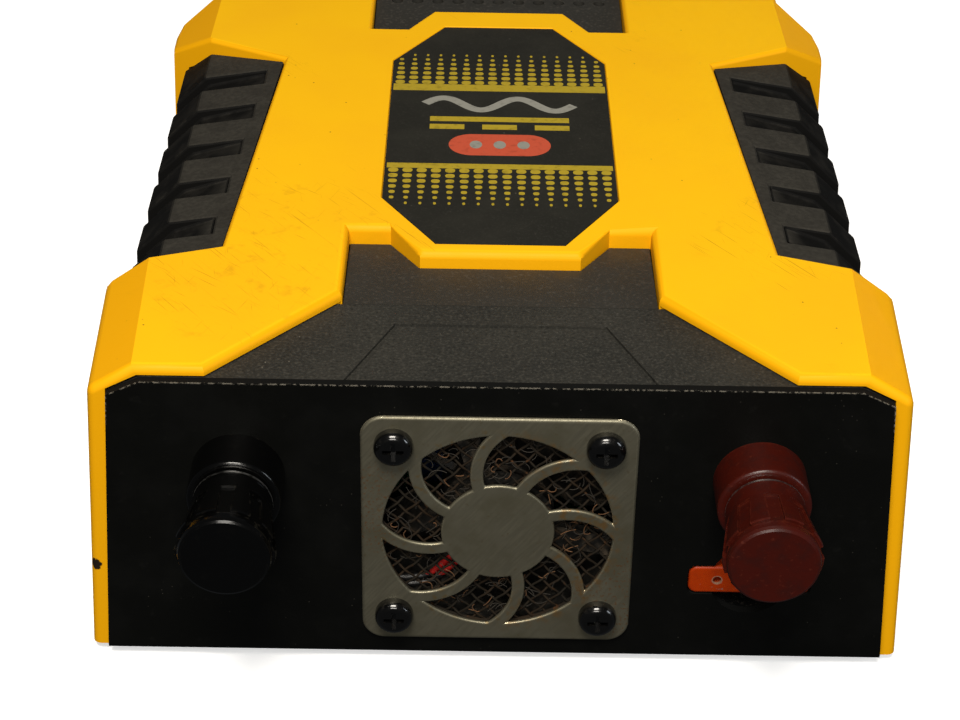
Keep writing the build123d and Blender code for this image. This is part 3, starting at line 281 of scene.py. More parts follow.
# The grips' lands slope by this much, and their plane would reach this height over the middle.
GRIP_LEAN = 0.155
GRIP_CROWN = 60.0 * MM
# The guard is tinted from its hub out to the edge of its opening.
GUARD_HUB = 9 * MM
GUARD_OPENING = 20 * MM
TEST_POINT_OFFSET = 5.1 * MM


def panel_edge_wear(made):
    """1 in specks along the front panel's top edge and its cut corners."""
    low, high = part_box("chassis_tray")
    ahead = made.step(made.axis("Y"), low.y + 0.6 * MM, low.y + 0.3 * MM)
    upper = made.beyond("Z", WEAR_START, WEAR_START + 3 * MM)
    across = made.math("ABSOLUTE", made.axis("X"))
    between_corners = made.step(across, CORNER_START, CORNER_START - 0.6 * MM)
    under_top = made.beyond("Z", high.z - 0.9 * MM, high.z - 1.2 * MM)
    kept = made.both(between_corners, under_top)
    return made.both(made.edge(0.4 * MM, 0.04, 0.16), made.patches(0.6 * MM, 0.44, 0.58, detail=5),
                     ahead, upper, made.math("SUBTRACT", 1.0, kept))


def tray_paint():
    """Black baked paint, with specks rubbed through to the steel."""
    made = Finish("tray_paint", (0.0019, 0.0020, 0.0017), 0.42, Specular_IOR_Level=0.14)
    made.dull(made.patches(9 * MM, 0.4, 0.7, detail=5), 0.55)
    made.dull(made.facing("Z", 0.5, 0.9), 0.9)
    made.paint(made.patches(2.2 * MM, 0.62, 0.8, 0.3, detail=7), (0.008, 0.008, 0.007), 0.6)
    speck = made.both(made.specks(1.1 * MM, 0.10, 0.05, 0.5), made.patches(7 * MM, 0.56, 0.62))
    made.paint(speck, (0.06, 0.055, 0.045))
    made.paint(panel_edge_wear(made), (0.24, 0.22, 0.18), 0.4)
    made.relief(made.noise(0.45 * MM), 0.015 * MM)
    return made


def case_texture():
    """Spark-eroded grain on the black moulded case, greyed by handling."""
    made = Finish("case_texture", (0.0178, 0.0176, 0.0152), 0.62, Specular_IOR_Level=0.25)
    made.paint(made.patches(16 * MM, 0.4, 0.7, detail=4), (0.0245, 0.0235, 0.0196))
    grain = made.noise(0.5 * MM, detail=2.5)
    made.paint(made.step(grain, 0.48, 0.72, 0.7), (0.050, 0.0475, 0.040), 0.5)
    made.paint(made.step(grain, 0.42, 0.3, 0.6), (0.006, 0.006, 0.005))
    speck = made.both(made.specks(2.2 * MM, 0.07, 0.035), made.patches(9 * MM, 0.52, 0.6))
    made.paint(speck, (0.16, 0.145, 0.115))
    made.relief(grain, 0.08 * MM)
    return made


def cover_yellow():
    """Amber moulded plastic with fine dark scratches, scuffs and ground-in specks, and painted
    shade on the faces that tilt away from level.
    """
    made = Finish("cover_yellow", (0.84, 0.455, 0.005), 0.5, Specular_IOR_Level=0.1)
    made.paint(made.patches(30 * MM, 0.35, 0.7, detail=4), (0.82, 0.425, 0.006))
    # Painted shade: faces that tilt away from level, the shoulder facets and the walls, are painted
    # a darker, more orange yellow.
    made.paint(made.facing("Z", 0.97, 0.87), (0.80, 0.375, 0.002))
    made.dull(made.patches(5 * MM, 0.4, 0.7, detail=6), 0.56)
    level_top = made.facing("Z", 0.8, 0.95)
    worn = made.patches(19 * MM, 0.6, 0.72, 0.8, detail=2)
    for place, radius, ragged in SCUFFS:
        worn = made.math("MAXIMUM", worn, made.near(place, radius, ragged, 8 * MM))
    worn = made.both(worn, level_top)
    for angle, length, width, level in SCRATCHES:
        lines = made.streaks(angle, length, width, level, level + 0.09, 0.6)
        made.paint(made.both(lines, worn), (0.36, 0.155, 0.005), 0.6)
    smudge = made.both(made.patches(3.5 * MM, 0.57, 0.75, 0.4, detail=9), worn)
    made.paint(smudge, (0.50, 0.235, 0.006), 0.6)
    speck = made.both(made.specks(2.8 * MM, 0.07, 0.03), made.patches(8 * MM, 0.5, 0.58))
    made.paint(made.both(speck, level_top), (0.14, 0.07, 0.012))
    made.paint(made.near(NICK, 1.15 * MM, 0.6 * MM, 0.7 * MM), (0.015, 0.01, 0.006), 0.7)
    made.relief(made.noise(0.5 * MM), 0.012 * MM)
    return made


def grip_rubber():
    """Black rubber, greyed on its lands partly by dust and partly as painted light, and left dark
    in its slots as painted shade.
    """
    made = Finish("grip_rubber", (0.0026, 0.0025, 0.0023), 0.75, Specular_IOR_Level=0.12)
    across = made.math("ABSOLUTE", made.axis("X"))
    height = made.math("MULTIPLY_ADD", across, GRIP_LEAN, made.axis("Z"))
    top = made.step(height, GRIP_CROWN - 1.2 * MM, GRIP_CROWN - 0.4 * MM)
    dusty = made.math("MULTIPLY_ADD", made.patches(0.8 * MM, 0.3, 0.75, 0.6, detail=6), 0.5, 0.5)
    # Painted light and shade: the lands are greyed, partly as dust and partly for the light they
    # catch, so that the slots keep the dark base colour as painted shade.
    dusty_lit_land = made.both(top, made.facing("Z", 0.75, 0.95), dusty)
    made.paint(dusty_lit_land, (0.046, 0.0425, 0.035), 0.85)
    slope = made.both(made.facing("Z", 0.3, 0.6), made.patches(4 * MM, 0.4, 0.7, 0.5, detail=6))
    made.paint(slope, (0.018, 0.0165, 0.014), 0.75)
    worn = made.both(made.edge(0.5 * MM), made.patches(2 * MM, 0.45, 0.7, 0.5, detail=5))
    made.paint(worn, (0.05, 0.045, 0.038))
    made.relief(made.noise(0.3 * MM), 0.03 * MM)
    return made


def label_base():
    """Dark satin printed film."""
    made = Finish("label_base", (0.0135, 0.0130, 0.0100), 0.55, Specular_IOR_Level=0.25)
    made.paint(made.patches(12 * MM, 0.4, 0.7), (0.018, 0.0172, 0.0132))
    made.paint(made.patches(0.35 * MM, 0.5, 0.75, 0.5), (0.032, 0.030, 0.025))
    made.dull(made.patches(2.5 * MM, 0.45, 0.75, detail=6), 0.6)
    speck = made.both(made.specks(2.4 * MM, 0.07, 0.03), made.patches(6 * MM, 0.5, 0.6))
    made.paint(speck, DUST)
    return made


def print_ink(name, colour):
    """Ink that is a little thin and rubbed in places."""
    made = Finish(name, colour, 0.5, Specular_IOR_Level=0.25)
    made.paint(made.patches(1.3 * MM, 0.5, 0.75, detail=5), shade(colour, 0.72))
    made.paint(made.patches(0.5 * MM, 0.66, 0.75, 0.6), (0.1, 0.09, 0.07))
    return made


def guard_steel():
    """Dull stainless sheet: drawn lines, grime, gold tints near the openings, and arrises painted
    bright and glossy as highlights.
    """
    made = Finish("guard_steel", (0.19, 0.178, 0.13), 0.46, metallic=0.85, Specular_IOR_Level=0.3)
    lines = made.drawn(0.9, 5 * MM, 0.25 * MM, "Y")
    made.dull(made.step(lines, 0.35, 0.65), 0.56)
    made.paint(made.patches(5 * MM, 0.42, 0.72, detail=6), (0.145, 0.134, 0.092), 0.55)
    made.paint(made.patches(1.1 * MM, 0.6, 0.76, 0.6, detail=6), (0.12, 0.085, 0.04), 0.55)
    low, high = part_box("fan_guard")
    middle = (low + high) / 2
    radius = made.distance(Vector((middle.x, low.y, middle.z)))
    ring = made.both(made.step(radius, GUARD_HUB, GUARD_HUB + 1.5 * MM),
                     made.step(radius, GUARD_OPENING, GUARD_OPENING - 2.2 * MM))
    right = made.both(ring, made.beyond("X", -6 * MM, 12 * MM))
    tint = made.both(right, made.patches(1.6 * MM, 0.46, 0.66, 0.8, detail=6))
    made.paint(tint, (0.22, 0.12, 0.035), 0.55)
    gold = made.both(ring, made.patches(1.3 * MM, 0.56, 0.7, 0.7, detail=6))
    made.paint(gold, (0.20, 0.135, 0.05), 0.5)
    # Painted highlight: every arris gets a bright, glossy metal colour so that it shines as a
    # bright line.
    made.paint(made.edge(0.45 * MM, 0.05, 0.3), (0.95, 0.85, 0.60), 0.26)
    tall = high.z - low.z
    rust_right = made.near((high.x, low.y, low.z + 0.2 * tall), 9 * MM, 8 * MM, 3 * MM)
    rust_left = made.near((low.x, low.y, low.z + 0.6 * tall), 9 * MM, 8 * MM, 2.5 * MM)
    rust = made.both(made.math("MAXIMUM", rust_right, rust_left),
                     made.patches(0.5 * MM, 0.52, 0.66, 0.8, detail=6))
    made.paint(rust, (0.17, 0.082, 0.03), 0.6)
    made.relief(lines, 0.008 * MM)
    return made


def wire_steel():
    """Screen wire coated in baked-on dust, rusting in patches."""
    made = Finish("wire_steel", (0.012, 0.0098, 0.007), 0.8, Specular_IOR_Level=0.1)
    made.paint(made.patches(3.5 * MM, 0.42, 0.62, detail=5), (0.018, 0.0118, 0.007), 0.85)
    made.paint(made.patches(1.5 * MM, 0.6, 0.7, detail=4), (0.055, 0.024, 0.009), 0.9)
    made.paint(made.patches(6 * MM, 0.55, 0.66), (0.007, 0.0065, 0.0055))
    return made


def lint(name, colour):
    """Matt fibres, darker in places."""
    made = Finish(name, colour, 0.95)
    made.paint(made.patches(1 * MM, 0.45, 0.65), shade(colour, 0.6))
    return made


def post_red():
    """Dark red moulded cap, satin where handled, with a paler red painted along its edges as
    highlights.
    """
    made = Finish("post_red", (0.038, 0.0033, 0.0013), 0.33, Specular_IOR_Level=0.28,
                  Coat_Weight=0.12, Coat_Roughness=0.25)
    made.paint(made.patches(2.4 * MM, 0.42, 0.7, detail=6), (0.028, 0.0028, 0.0013), 0.42)
    made.paint(made.patches(0.7 * MM, 0.6, 0.75, 0.5, detail=5), (0.085, 0.014, 0.006), 0.48)
    # Painted highlight: a paler red along every edge, broken up in patches, stands for the light
    # that the edges catch.
    worn = made.both(made.edge(0.45 * MM), made.patches(1.1 * MM, 0.4, 0.6, 0.7, detail=5))
    made.paint(worn, (0.080, 0.012, 0.005), 0.38)
    made.relief(made.noise(0.8 * MM, detail=4), 0.03 * MM)
    return made


def post_black():
    """Black moulded cap, polished by handling."""
    made = Finish("post_black", (0.0008, 0.0008, 0.0008), 0.2, Specular_IOR_Level=0.22,
                  Coat_Weight=0.22, Coat_Roughness=0.07)
    made.paint(made.patches(2 * MM, 0.58, 0.8, 0.4, detail=6), (0.003, 0.0028, 0.0023), 0.3)
    worn = made.both(made.edge(0.35 * MM), made.patches(1.1 * MM, 0.5, 0.65, 0.6, detail=5))
    made.paint(worn, (0.02, 0.0175, 0.013), 0.32)
    made.relief(made.noise(0.9 * MM, detail=4), 0.02 * MM)
    return made


def fuse_orange():
    """Translucent moulded fuse body, with a grey test point on each side of its middle."""
    made = Finish("fuse_orange", (0.30, 0.026, 0.0006), 0.35, Subsurface_Weight=0.08,
                  Subsurface_Scale=0.002, Specular_IOR_Level=0.2)
    made.paint(made.patches(2 * MM, 0.45, 0.75, detail=5), (0.24, 0.020, 0.0008), 0.45)
    made.paint(made.patches(0.8 * MM, 0.64, 0.74, 0.6, detail=4), DUST, 0.7)
    low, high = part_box("fuse_body")
    middle = (low + high) / 2
    for side in (-1, 1):
        point = Vector((middle.x + side * TEST_POINT_OFFSET, low.y, middle.z))
        made.paint(made.near(point, 0.95 * MM, 0.1 * MM), (0.26, 0.15, 0.10), 0.35)
    return made


# ---------------------------------------------------------------- finishes, inside and behind
# Texture scales. The bands come out about 5.7 mm apart for wire and 20 mm for tape.
WIRE_BANDS = 500 / 9
TAPE_BANDS = 16.0
TRACK_BRICKS = 60.0
# The output leads are black below this height and pale above it.
OUTPUT_LEAD_SPLIT = 22 * MM


def fan_plastic():
    """Black fan moulding, with grey-brown dust caked on whatever faces the air."""
    made = plastic("fan_plastic", (0.010, 0.0098, 0.009), 0.4, dust=0.3)
    caked = made.both(made.patches(2.2 * MM, 0.45, 0.7, detail=7), made.facing("Y", 0.2, -0.7))
    made.paint(caked, (0.050, 0.038, 0.025), 0.9)
    return made


def lead_sleeve(name, colour, other=None, above=0.0):
    """PVC lead insulation; a pair has a second colour above a height."""
    made = Finish(name, colour, 0.42)
    if other:
        made.paint(made.beyond("Z", above, above + 0.02 * MM), other)
    made.paint(made.patches(2 * MM, 0.55, 0.8, 0.15, detail=5), DUST, 0.7)
    made.relief(made.noise(0.7 * MM), 0.02 * MM)
    return made


def waves(made, direction, profile, scale, distortion=0.0):
    """Bands across a direction."""
    node = made.add("TexWave", wave_type="BANDS", bands_direction=direction, wave_profile=profile)
    made.feed(node.inputs["Vector"], made.place)
    made.feed(node.inputs["Scale"], scale)
    made.feed(node.inputs["Distortion"], distortion)
    return node.outputs["Fac"]


def wound(name, colour, axis="Z"):
    """Enamelled copper in turns round an upright or lying core."""
    made = Finish(name, colour, 0.25, metallic=0.85)
    turns = waves(made, axis, "SIN", WIRE_BANDS, 0.4)
    made.paint(made.step(turns, 0.35, 0.0), shade(colour, 0.3), 0.5)
    made.relief(turns, 0.2 * MM)
    return made


def board_laminate():
    """Green solder mask over copper tracks on glass laminate."""
    made = Finish("board_laminate", (0.012, 0.085, 0.035), 0.3, Coat_Weight=0.4)
    tracks = made.add("TexBrick", offset=0.37, squash=1.7)
    made.feed(tracks.inputs["Vector"], made.place)
    made.feed(tracks.inputs["Scale"], TRACK_BRICKS)
    made.paint(made.step(tracks.outputs["Fac"], 0.2, 0.8), (0.03, 0.16, 0.06))
    made.paint(made.specks(3.1 * MM, 0.16, 0.13), (0.5, 0.48, 0.44), 0.25)
    made.relief(tracks.outputs["Fac"], 0.03 * MM)
    return made


def ferrite():
    """Grey sintered ferrite, slightly glittering."""
    made = Finish("ferrite", (0.03, 0.03, 0.032), 0.5)
    made.paint(made.patches(0.8 * MM, 0.5, 0.75, detail=5), (0.065, 0.063, 0.06), 0.35)
    made.relief(made.noise(0.4 * MM, detail=4), 0.05 * MM)
    return made


def winding_tape():
    """Yellow polyester tape, wrapped in overlapping turns."""
    made = Finish("winding_tape", (0.66, 0.42, 0.03), 0.28, Coat_Weight=0.3)
    wraps = waves(made, "Y", "SAW", TAPE_BANDS)
    made.paint(made.step(wraps, 0.9, 1.0), (0.35, 0.2, 0.02))
    made.relief(wraps, 0.1 * MM)
    return made


def capacitor_sleeve():
    """Shrink sleeve in dark blue, with a pale band down one side and a bare aluminium top."""
    made = Finish("capacitor_sleeve", (0.012, 0.02, 0.06), 0.25, Coat_Weight=0.3)
    made.paint(made.facing("X", 0.86, 0.9), (0.42, 0.43, 0.45), 0.35)
    made.paint(made.facing("Z", 0.92, 0.96), (0.55, 0.55, 0.55), 0.28)
    made.relief(made.noise(1.5 * MM), 0.04 * MM)
    return made


def lamp(name, colour):
    """Tinted diffused lamp moulding."""
    made = Finish(name, colour, 0.15, Subsurface_Weight=0.4, Subsurface_Scale=0.003,
                  Coat_Weight=0.5, Coat_Roughness=0.05)
    made.paint(made.patches(1.5 * MM, 0.45, 0.75), shade(colour, 0.75))
    return made


def rocker_plastic():
    """Gloss black rocker with the two generic switch marks, a bar and a ring, printed on it."""
    made = plastic("rocker_plastic", (0.008, 0.008, 0.008), 0.22, dust=0.1)
    low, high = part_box("switch_rocker")
    middle = (low + high) / 2
    reach = 0.27 * (high.z - low.z)
    across = made.math("SUBTRACT", made.axis("X"), middle.x)
    from_bar = made.math("SUBTRACT", made.axis("Z"), middle.z + reach)
    from_ring = made.math("SUBTRACT", made.axis("Z"), middle.z - reach)
    bar_mark = made.both(made.within(across, 0.45 * MM), made.within(from_bar, 1.8 * MM))
    radius = made.math("SQRT", made.math("ADD", made.math("MULTIPLY", across, across),
                                         made.math("MULTIPLY", from_ring, from_ring)))
    ring_mark = made.within(made.math("SUBTRACT", radius, 1.6 * MM), 0.4 * MM)
    mark = made.both(made.math("MAXIMUM", bar_mark, ring_mark), made.facing("Y", 0.5, 0.8))
    made.paint(mark, (0.75, 0.75, 0.72), 0.4)
    return made


leads_low, leads_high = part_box("fan_leads")
finishes = {
    "chassis_tray": tray_paint(),
    "upper_case": case_texture(),
    "saddle_cover": cover_yellow(),
    "grip_right grip_left": grip_rubber(),
    "front_insert vent_grille": plastic(
        "vent_plastic", (0.0240, 0.0228, 0.0195), 0.5, grain=0.4 * MM, depth=0.02 * MM, dust=0.25),
    "label_plate": label_base(),
    "rubber_feet": plastic(
        "foot_rubber", (0.014, 0.0135, 0.013), 0.7, grain=0.3 * MM, depth=0.03 * MM),
    "fan_guard": guard_steel(),
    "fan_screws case_screws": plastic(
        "black_steel", (0.0018, 0.0018, 0.0018), 0.16, grain=0.9 * MM, dust=0.1,
        Specular_IOR_Level=0.25, Coat_Weight=0.5, Coat_Roughness=0.06),
    "fan_frame fan_rotor": fan_plastic(),
    "fan_magnet": metal("magnet", (0.12, 0.12, 0.125), 0.5),
    "fan_shaft red_washer black_washer": metal("shaft_steel", STEEL, 0.22),
    "fan_bearing": metal("bearing_bronze", (0.48, 0.27, 0.11), 0.35),
    "fan_stator": wound("stator_wound", (0.55, 0.2, 0.07), axis="Y"),
    "fan_leads": lead_sleeve("lead_mixed", (0.005, 0.005, 0.005), other=(0.36, 0.010, 0.008),
                             above=(leads_low.z + leads_high.z) / 2),
    "fan_nuts red_nuts black_nuts": metal(
        "zinc_steel", (0.50, 0.50, 0.47), 0.3, tint=(0.42, 0.38, 0.27)),
    "red_collar red_bush red_knob": post_red(),
    "black_collar black_bush black_knob": post_black(),
    "red_stud red_insert black_stud black_insert": metal(
        "post_brass", (0.60, 0.42, 0.17), 0.28, tint=(0.38, 0.25, 0.10)),
    "fuse_body": fuse_orange(),
    "fuse_blades fuse_clips usb_shell outlet_contacts": metal(
        "fuse_zinc", (0.55, 0.55, 0.53), 0.32),
    "fuse_socket": plastic("socket_plastic", (0.004, 0.004, 0.004), 0.2,
                           Coat_Weight=0.3, Coat_Roughness=0.08),
    "lead_red": lead_sleeve("lead_red", (0.40, 0.012, 0.008)),
    "lead_black": lead_sleeve("lead_black", (0.012, 0.012, 0.012)),
    "output_leads": lead_sleeve("lead_output", (0.02, 0.02, 0.02), other=(0.5, 0.48, 0.42),
                                above=OUTPUT_LEAD_SPLIT),
    "outlet_left outlet_right": plastic(
        "outlet_plastic", (0.020, 0.0195, 0.019), 0.38, dust=0.2),
    "switch_housing": plastic("switch_plastic", (0.010, 0.010, 0.010), 0.3, dust=0.2),
    "switch_rocker": rocker_plastic(),
    "usb_tongue": plastic("usb_plastic", (0.55, 0.55, 0.53), 0.35, dust=0.1),
    "led_power": lamp("lamp_green", (0.06, 0.42, 0.09)),
    "led_fault": lamp("lamp_red", (0.55, 0.03, 0.02)),
    "main_board": board_laminate(),
    "board_supports": plastic("support_nylon", (0.62, 0.60, 0.54), 0.4),
    "transformer_core": ferrite(),
    "transformer_winding": winding_tape(),
    "input_capacitors bus_capacitor": capacitor_sleeve(),
    "choke": wound("choke_wound", (0.5, 0.17, 0.06)),
    "heat_sinks": metal("sink_aluminium", (0.62, 0.63, 0.64), 0.42),
    "power_transistors": plastic("transistor_epoxy", (0.012, 0.012, 0.013), 0.45),
    "dust_screen": metal("screen_steel", (0.3, 0.28, 0.22), 0.4),
}
for names, made_finish in finishes.items():
    material = made_finish.done()
    for node_name in names.split():
        for held_slot in nodes[node_name].material_slots:
            held_slot.material = material


# ---------------------------------------------------------------- piece makers
def piece(name, data, finish, body="root"):
    """A new object that rides on a body and takes its finish from a material slot."""
    made = bpy.data.objects.new(name, data)
    scene.collection.objects.link(made)
    data.materials.append(finish)
    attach(made, body)
    return made


def mesh_of(shape, name):
    """A new mesh from a bmesh, which is freed."""
    data = bpy.data.meshes.new(name)
    shape.to_mesh(data)
    shape.free()
    return data


def strands(name, paths, radius, finish, sides=2):
    """Round strands, each along a list of points."""
    data = bpy.data.curves.new(name, "CURVE")
    data.dimensions = "3D"
    data.bevel_depth = radius
    data.bevel_resolution = sides
    data.use_fill_caps = True
    for path in paths:
        spline = data.splines.new("POLY")
        spline.points.add(len(path) - 1)
        for held, point in zip(spline.points, path):
            held.co = (*point, 1.0)
        spline.use_smooth = True
    return piece(name, data, finish)


# ---------------------------------------------------------------- softened edges
WELD_GAP = 0.002 * MM
FLAT_ANGLE = math.radians(1)
SOFTENED_ANGLE = math.radians(25)
STEEP_ANGLE = math.radians(30)
CREASE_ANGLE = math.radians(24)
# The cover's rim lies within this depth under its roof, and its upright corners are taller than
# this height. Edges ahead of the last of these three get the larger rounding.
RIM_DEPTH = 9 * MM
POST_HEIGHT = 20 * MM
FRONT_END = -25 * MM


def soften(width, segments, *names):
    """Round the sharp edges of CAD nodes, inside their own surface."""
    for name in names:
        weld = nodes[name].modifiers.new("weld", "WELD")
        weld.merge_threshold = WELD_GAP
        flat = nodes[name].modifiers.new("flat", "DECIMATE")
        flat.decimate_type = "DISSOLVE"
        flat.angle_limit = FLAT_ANGLE
        bevel = nodes[name].modifiers.new("bevel", "BEVEL")
        bevel.width = width
        bevel.segments = segments
        bevel.limit_method = "ANGLE"
        bevel.angle_limit = SOFTENED_ANGLE
        bevel.use_clamp_overlap = False


def steep(edge):
    return edge.calc_face_angle() > STEEP_ANGLE


def middle_of(edge):
    return (edge.verts[0].co + edge.verts[1].co) / 2


def lowest(edge):
    return min(vert.co.z for vert in edge.verts)


def within_label(edge):
    middle = middle_of(edge)
    low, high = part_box("label_plate")
    return low.x - MM < middle.x < high.x + MM and low.y - MM < middle.y < high.y + MM


def beside_grip(edge):
    middle = middle_of(edge)
    low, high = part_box("grip_right")
    return abs(middle.x) > low.x - MM and low.y - 2 * MM < middle.y < high.y + 2 * MM


def top_rim(edge):
    """An edge where the roof or a shoulder meets an upright face."""
    uprights = [face for face in edge.link_faces if abs(face.normal.z) < 0.3]
    tops = [face for face in edge.link_faces if face.normal.z > 0.6]
    above = lowest(edge) > roof - RIM_DEPTH
    meets = len(uprights) == 1 and len(tops) == 1
    return steep(edge) and meets and above and not within_label(edge)


def outer_post(edge):
    """The upright outer corner of a side wall, where it meets the wall's end."""
    first, second = edge.verts
    tall = abs(first.co.z - second.co.z) > POST_HEIGHT
    outward = math.copysign(1, first.co.x)
    ends = [face for face in edge.link_faces if abs(face.normal.y) > 0.9]
    sides = [face for face in edge.link_faces if outward * face.normal.x > 0.9]
    return tall and len(ends) == 1 and len(sides) == 1


def front_rim(edge):
    ahead = middle_of(edge).y < FRONT_END
    return ahead and (outer_post(edge) or top_rim(edge) and not beside_grip(edge))


def other_rim(edge):
    return outer_post(edge) or top_rim(edge)


def label_rim(edge):
    return steep(edge) and within_label(edge) and lowest(edge) > roof - 0.1 * MM


# Each stage rounds the edges that its test picks, by a width and a number of segments.
COVER_STAGES = ((1.3 * MM, 5, front_rim), (0.9 * MM, 4, other_rim), (0.3 * MM, 3, label_rim))


def rounded_cover():
    """The saddle cover with its outer edges rounded, more so at the front, its creases crisp."""
    shape = bmesh.new()
    shape.from_mesh(nodes["saddle_cover"].data)
    bmesh.ops.remove_doubles(shape, verts=shape.verts, dist=WELD_GAP)
    bmesh.ops.dissolve_limit(shape, angle_limit=FLAT_ANGLE, verts=shape.verts, edges=shape.edges)
    shape.normal_update()
    for width, segments, picked in COVER_STAGES:
        outward = [edge for edge in shape.edges if edge.is_manifold and edge.is_convex]
        bmesh.ops.bevel(shape, geom=[edge for edge in outward if picked(edge)], offset=width,
                        segments=segments, profile=0.5, affect="EDGES", clamp_overlap=False)
        shape.normal_update()
    for face in shape.faces:
        face.smooth = True
    for edge in shape.edges:
        edge.smooth = edge.is_manifold and edge.calc_face_angle() < CREASE_ANGLE
    finish = nodes["saddle_cover"].material_slots[0].material
    made = piece("rounded_cover", mesh_of(shape, "rounded_cover"), finish)
    shading = made.modifiers.new("level_shading", "WEIGHTED_NORMAL")
    shading.keep_sharp = True
    shading.weight = 100
    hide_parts("saddle_cover")


soften(0.45 * MM, 2, "grip_right", "grip_left")
soften(0.3 * MM, 3, "fan_guard")
rounded_cover()


# ---------------------------------------------------------------- label print
label_low, label_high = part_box("label_plate")
INK_THICK = 0.04 * MM
INK_SINK = 0.01 * MM
LABEL_MARGIN = 0.35 * MM
# The label is an octagon, and each of its ends narrows by this much over this length.
END_NARROWING = 9.5 * MM
END_LENGTH = 15.8 * MM
# Places of what is printed, as distances behind the front panel.
BAND_FRONT = (66.4 * MM, 68.2 * MM)
PILL = 75.6 * MM
DIRECT_SIGN = 84.2 * MM
WAVE_SIGN = 92.0 * MM
BAND_REAR = (97.5 * MM, 100.2 * MM)
PILL_DOT_PITCH = 4.2 * MM
# The bands' dots. Widths and heights are shares of a pitch, and fall with each row.
COLUMNS = 16
COLUMN_PITCH = 2.45 * MM
ROW_PITCH = 2.0 * MM
FIRST_ROW = 0.42
DOT_WIDTHS = (0.36, 0.34, 0.31, 0.27, 0.22, 0.16, 0.10)
DOT_HEIGHT = 0.39
DOT_HEIGHT_FALL = 0.03


def printed(name, outlines, finish, lift=0.0):
    """Flat inked shapes on the label, each an outline of (x, y) points in metres."""
    low = label_high.z - INK_SINK + lift
    shape = bmesh.new()
    for outline in outlines:
        base = [shape.verts.new((x, y, low)) for x, y in outline]
        head = [shape.verts.new((x, y, low + INK_THICK)) for x, y in outline]
        shape.faces.new(head)
        shape.faces.new(base[::-1])
        for i, corner in enumerate(base):
            after = (i + 1) % len(base)
            shape.faces.new((corner, base[after], head[after], head[i]))
    bmesh.ops.recalc_face_normals(shape, faces=shape.faces)
    piece(name, mesh_of(shape, name), finish)


def bar(left, right, front, rear):
    return [(left, front), (right, front), (right, rear), (left, rear)]


def oval(x, y, half_width, half_height, squareness=2.6, corners=14):
    """A rounded outline, between an ellipse and a rectangle."""
    outline = []
    for i in range(corners):
        angle = 2 * math.pi * i / corners
        part_x = math.copysign(abs(math.cos(angle)) ** (2 / squareness), math.cos(angle))
        part_y = math.copysign(abs(math.sin(angle)) ** (2 / squareness), math.sin(angle))
        outline.append((x + half_width * part_x, y + half_height * part_y))
    return outline


def stadium(x, y, half_width, half_height, corners=20):
    """A bar with fully round ends."""
    outline = []
    for side in (1, -1):
        for i in range(corners + 1):
            angle = math.pi * (i / corners - 0.5)
            reach = half_width - half_height + half_height * math.cos(angle)
            outline.append((x + side * reach, y + side * half_height * math.sin(angle)))
    return outline


def half_width_at(y):
    """Half the width of the label's outline, which narrows towards both of its ends."""
    end = min(y - label_low.y, label_high.y - y)
    return label_high.x - END_NARROWING * max(0.0, 1 - end / END_LENGTH)


def halftone(start, direction):
    """Rows of dots that shrink as they leave a solid band."""
    dots = []
    for row, share in enumerate(DOT_WIDTHS):
        y = start + direction * (row + FIRST_ROW) * ROW_PITCH
        half = share * COLUMN_PITCH
        half_height = (DOT_HEIGHT - DOT_HEIGHT_FALL * row) * ROW_PITCH
        for column in range(COLUMNS):
            x = (column - (COLUMNS - 1) / 2) * COLUMN_PITCH
            if abs(x) + half < half_width_at(y) - LABEL_MARGIN:
                dots.append(oval(x, y, half, half_height))
    return dots


def direct_sign(y):
    """The generic sign for direct current: a bar over three dashes."""
    half, dash_half, dash_pitch = 12.5 * MM, 3.1 * MM, 9.4 * MM
    near, far = 0.6 * MM, 2.5 * MM
    sign = [bar(-half, half, y + near, y + far)]
    for x in (-dash_pitch, 0, dash_pitch):
        sign.append(bar(x - dash_half, x + dash_half, y - far, y - near))
    return sign


def wave(middle_y, reach, height, stroke, turns=2, steps=90):
    """A sine wave drawn as one closed ribbon."""
    upper = []
    lower = []
    for i in range(steps + 1):
        part = 2 * i / steps - 1
        angle = math.pi * turns * part
        slope = height * turns * math.pi / reach * math.cos(angle)
        lean = math.hypot(1, slope)
        x = reach * part
        y = middle_y + height * math.sin(angle)
        upper.append((x - slope / lean * stroke / 2, y + stroke / 2 / lean))
        lower.append((x + slope / lean * stroke / 2, y - stroke / 2 / lean))
    return upper + lower[::-1]


ink_yellow = print_ink("ink_yellow", (0.36, 0.262, 0.020)).done()
ink_coral = print_ink("ink_coral", (0.47, 0.075, 0.036)).done()
ink_pale = print_ink("ink_pale", (0.24, 0.235, 0.205)).done()
panel_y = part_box("chassis_tray")[0].y
band_half = label_high.x - LABEL_MARGIN
front_band = [panel_y + place for place in BAND_FRONT]
rear_band = [panel_y + place for place in BAND_REAR]
printed("label_bands", [bar(-band_half, band_half, *band) for band in (front_band, rear_band)],
        ink_yellow)
printed("label_dots", halftone(front_band[0], -1) + halftone(rear_band[1], 1), ink_yellow)
pill_y = panel_y + PILL
pill = stadium(0, pill_y, half_width=9.0 * MM, half_height=4.1 * MM)
printed("label_pill", [pill], ink_coral)
pill_dots = [oval(x, pill_y, half_width=1.1 * MM, half_height=1.5 * MM, squareness=2, corners=20)
             for x in (-PILL_DOT_PITCH, 0, PILL_DOT_PITCH)]
printed("label_pill_dots", pill_dots, ink_pale, lift=INK_THICK / 2)
printed("label_direct_sign", direct_sign(panel_y + DIRECT_SIGN), ink_yellow)
wave_ribbon = wave(panel_y + WAVE_SIGN, reach=13.5 * MM, height=2.4 * MM, stroke=1.9 * MM)
printed("label_wave_sign", [wave_ribbon], ink_pale)


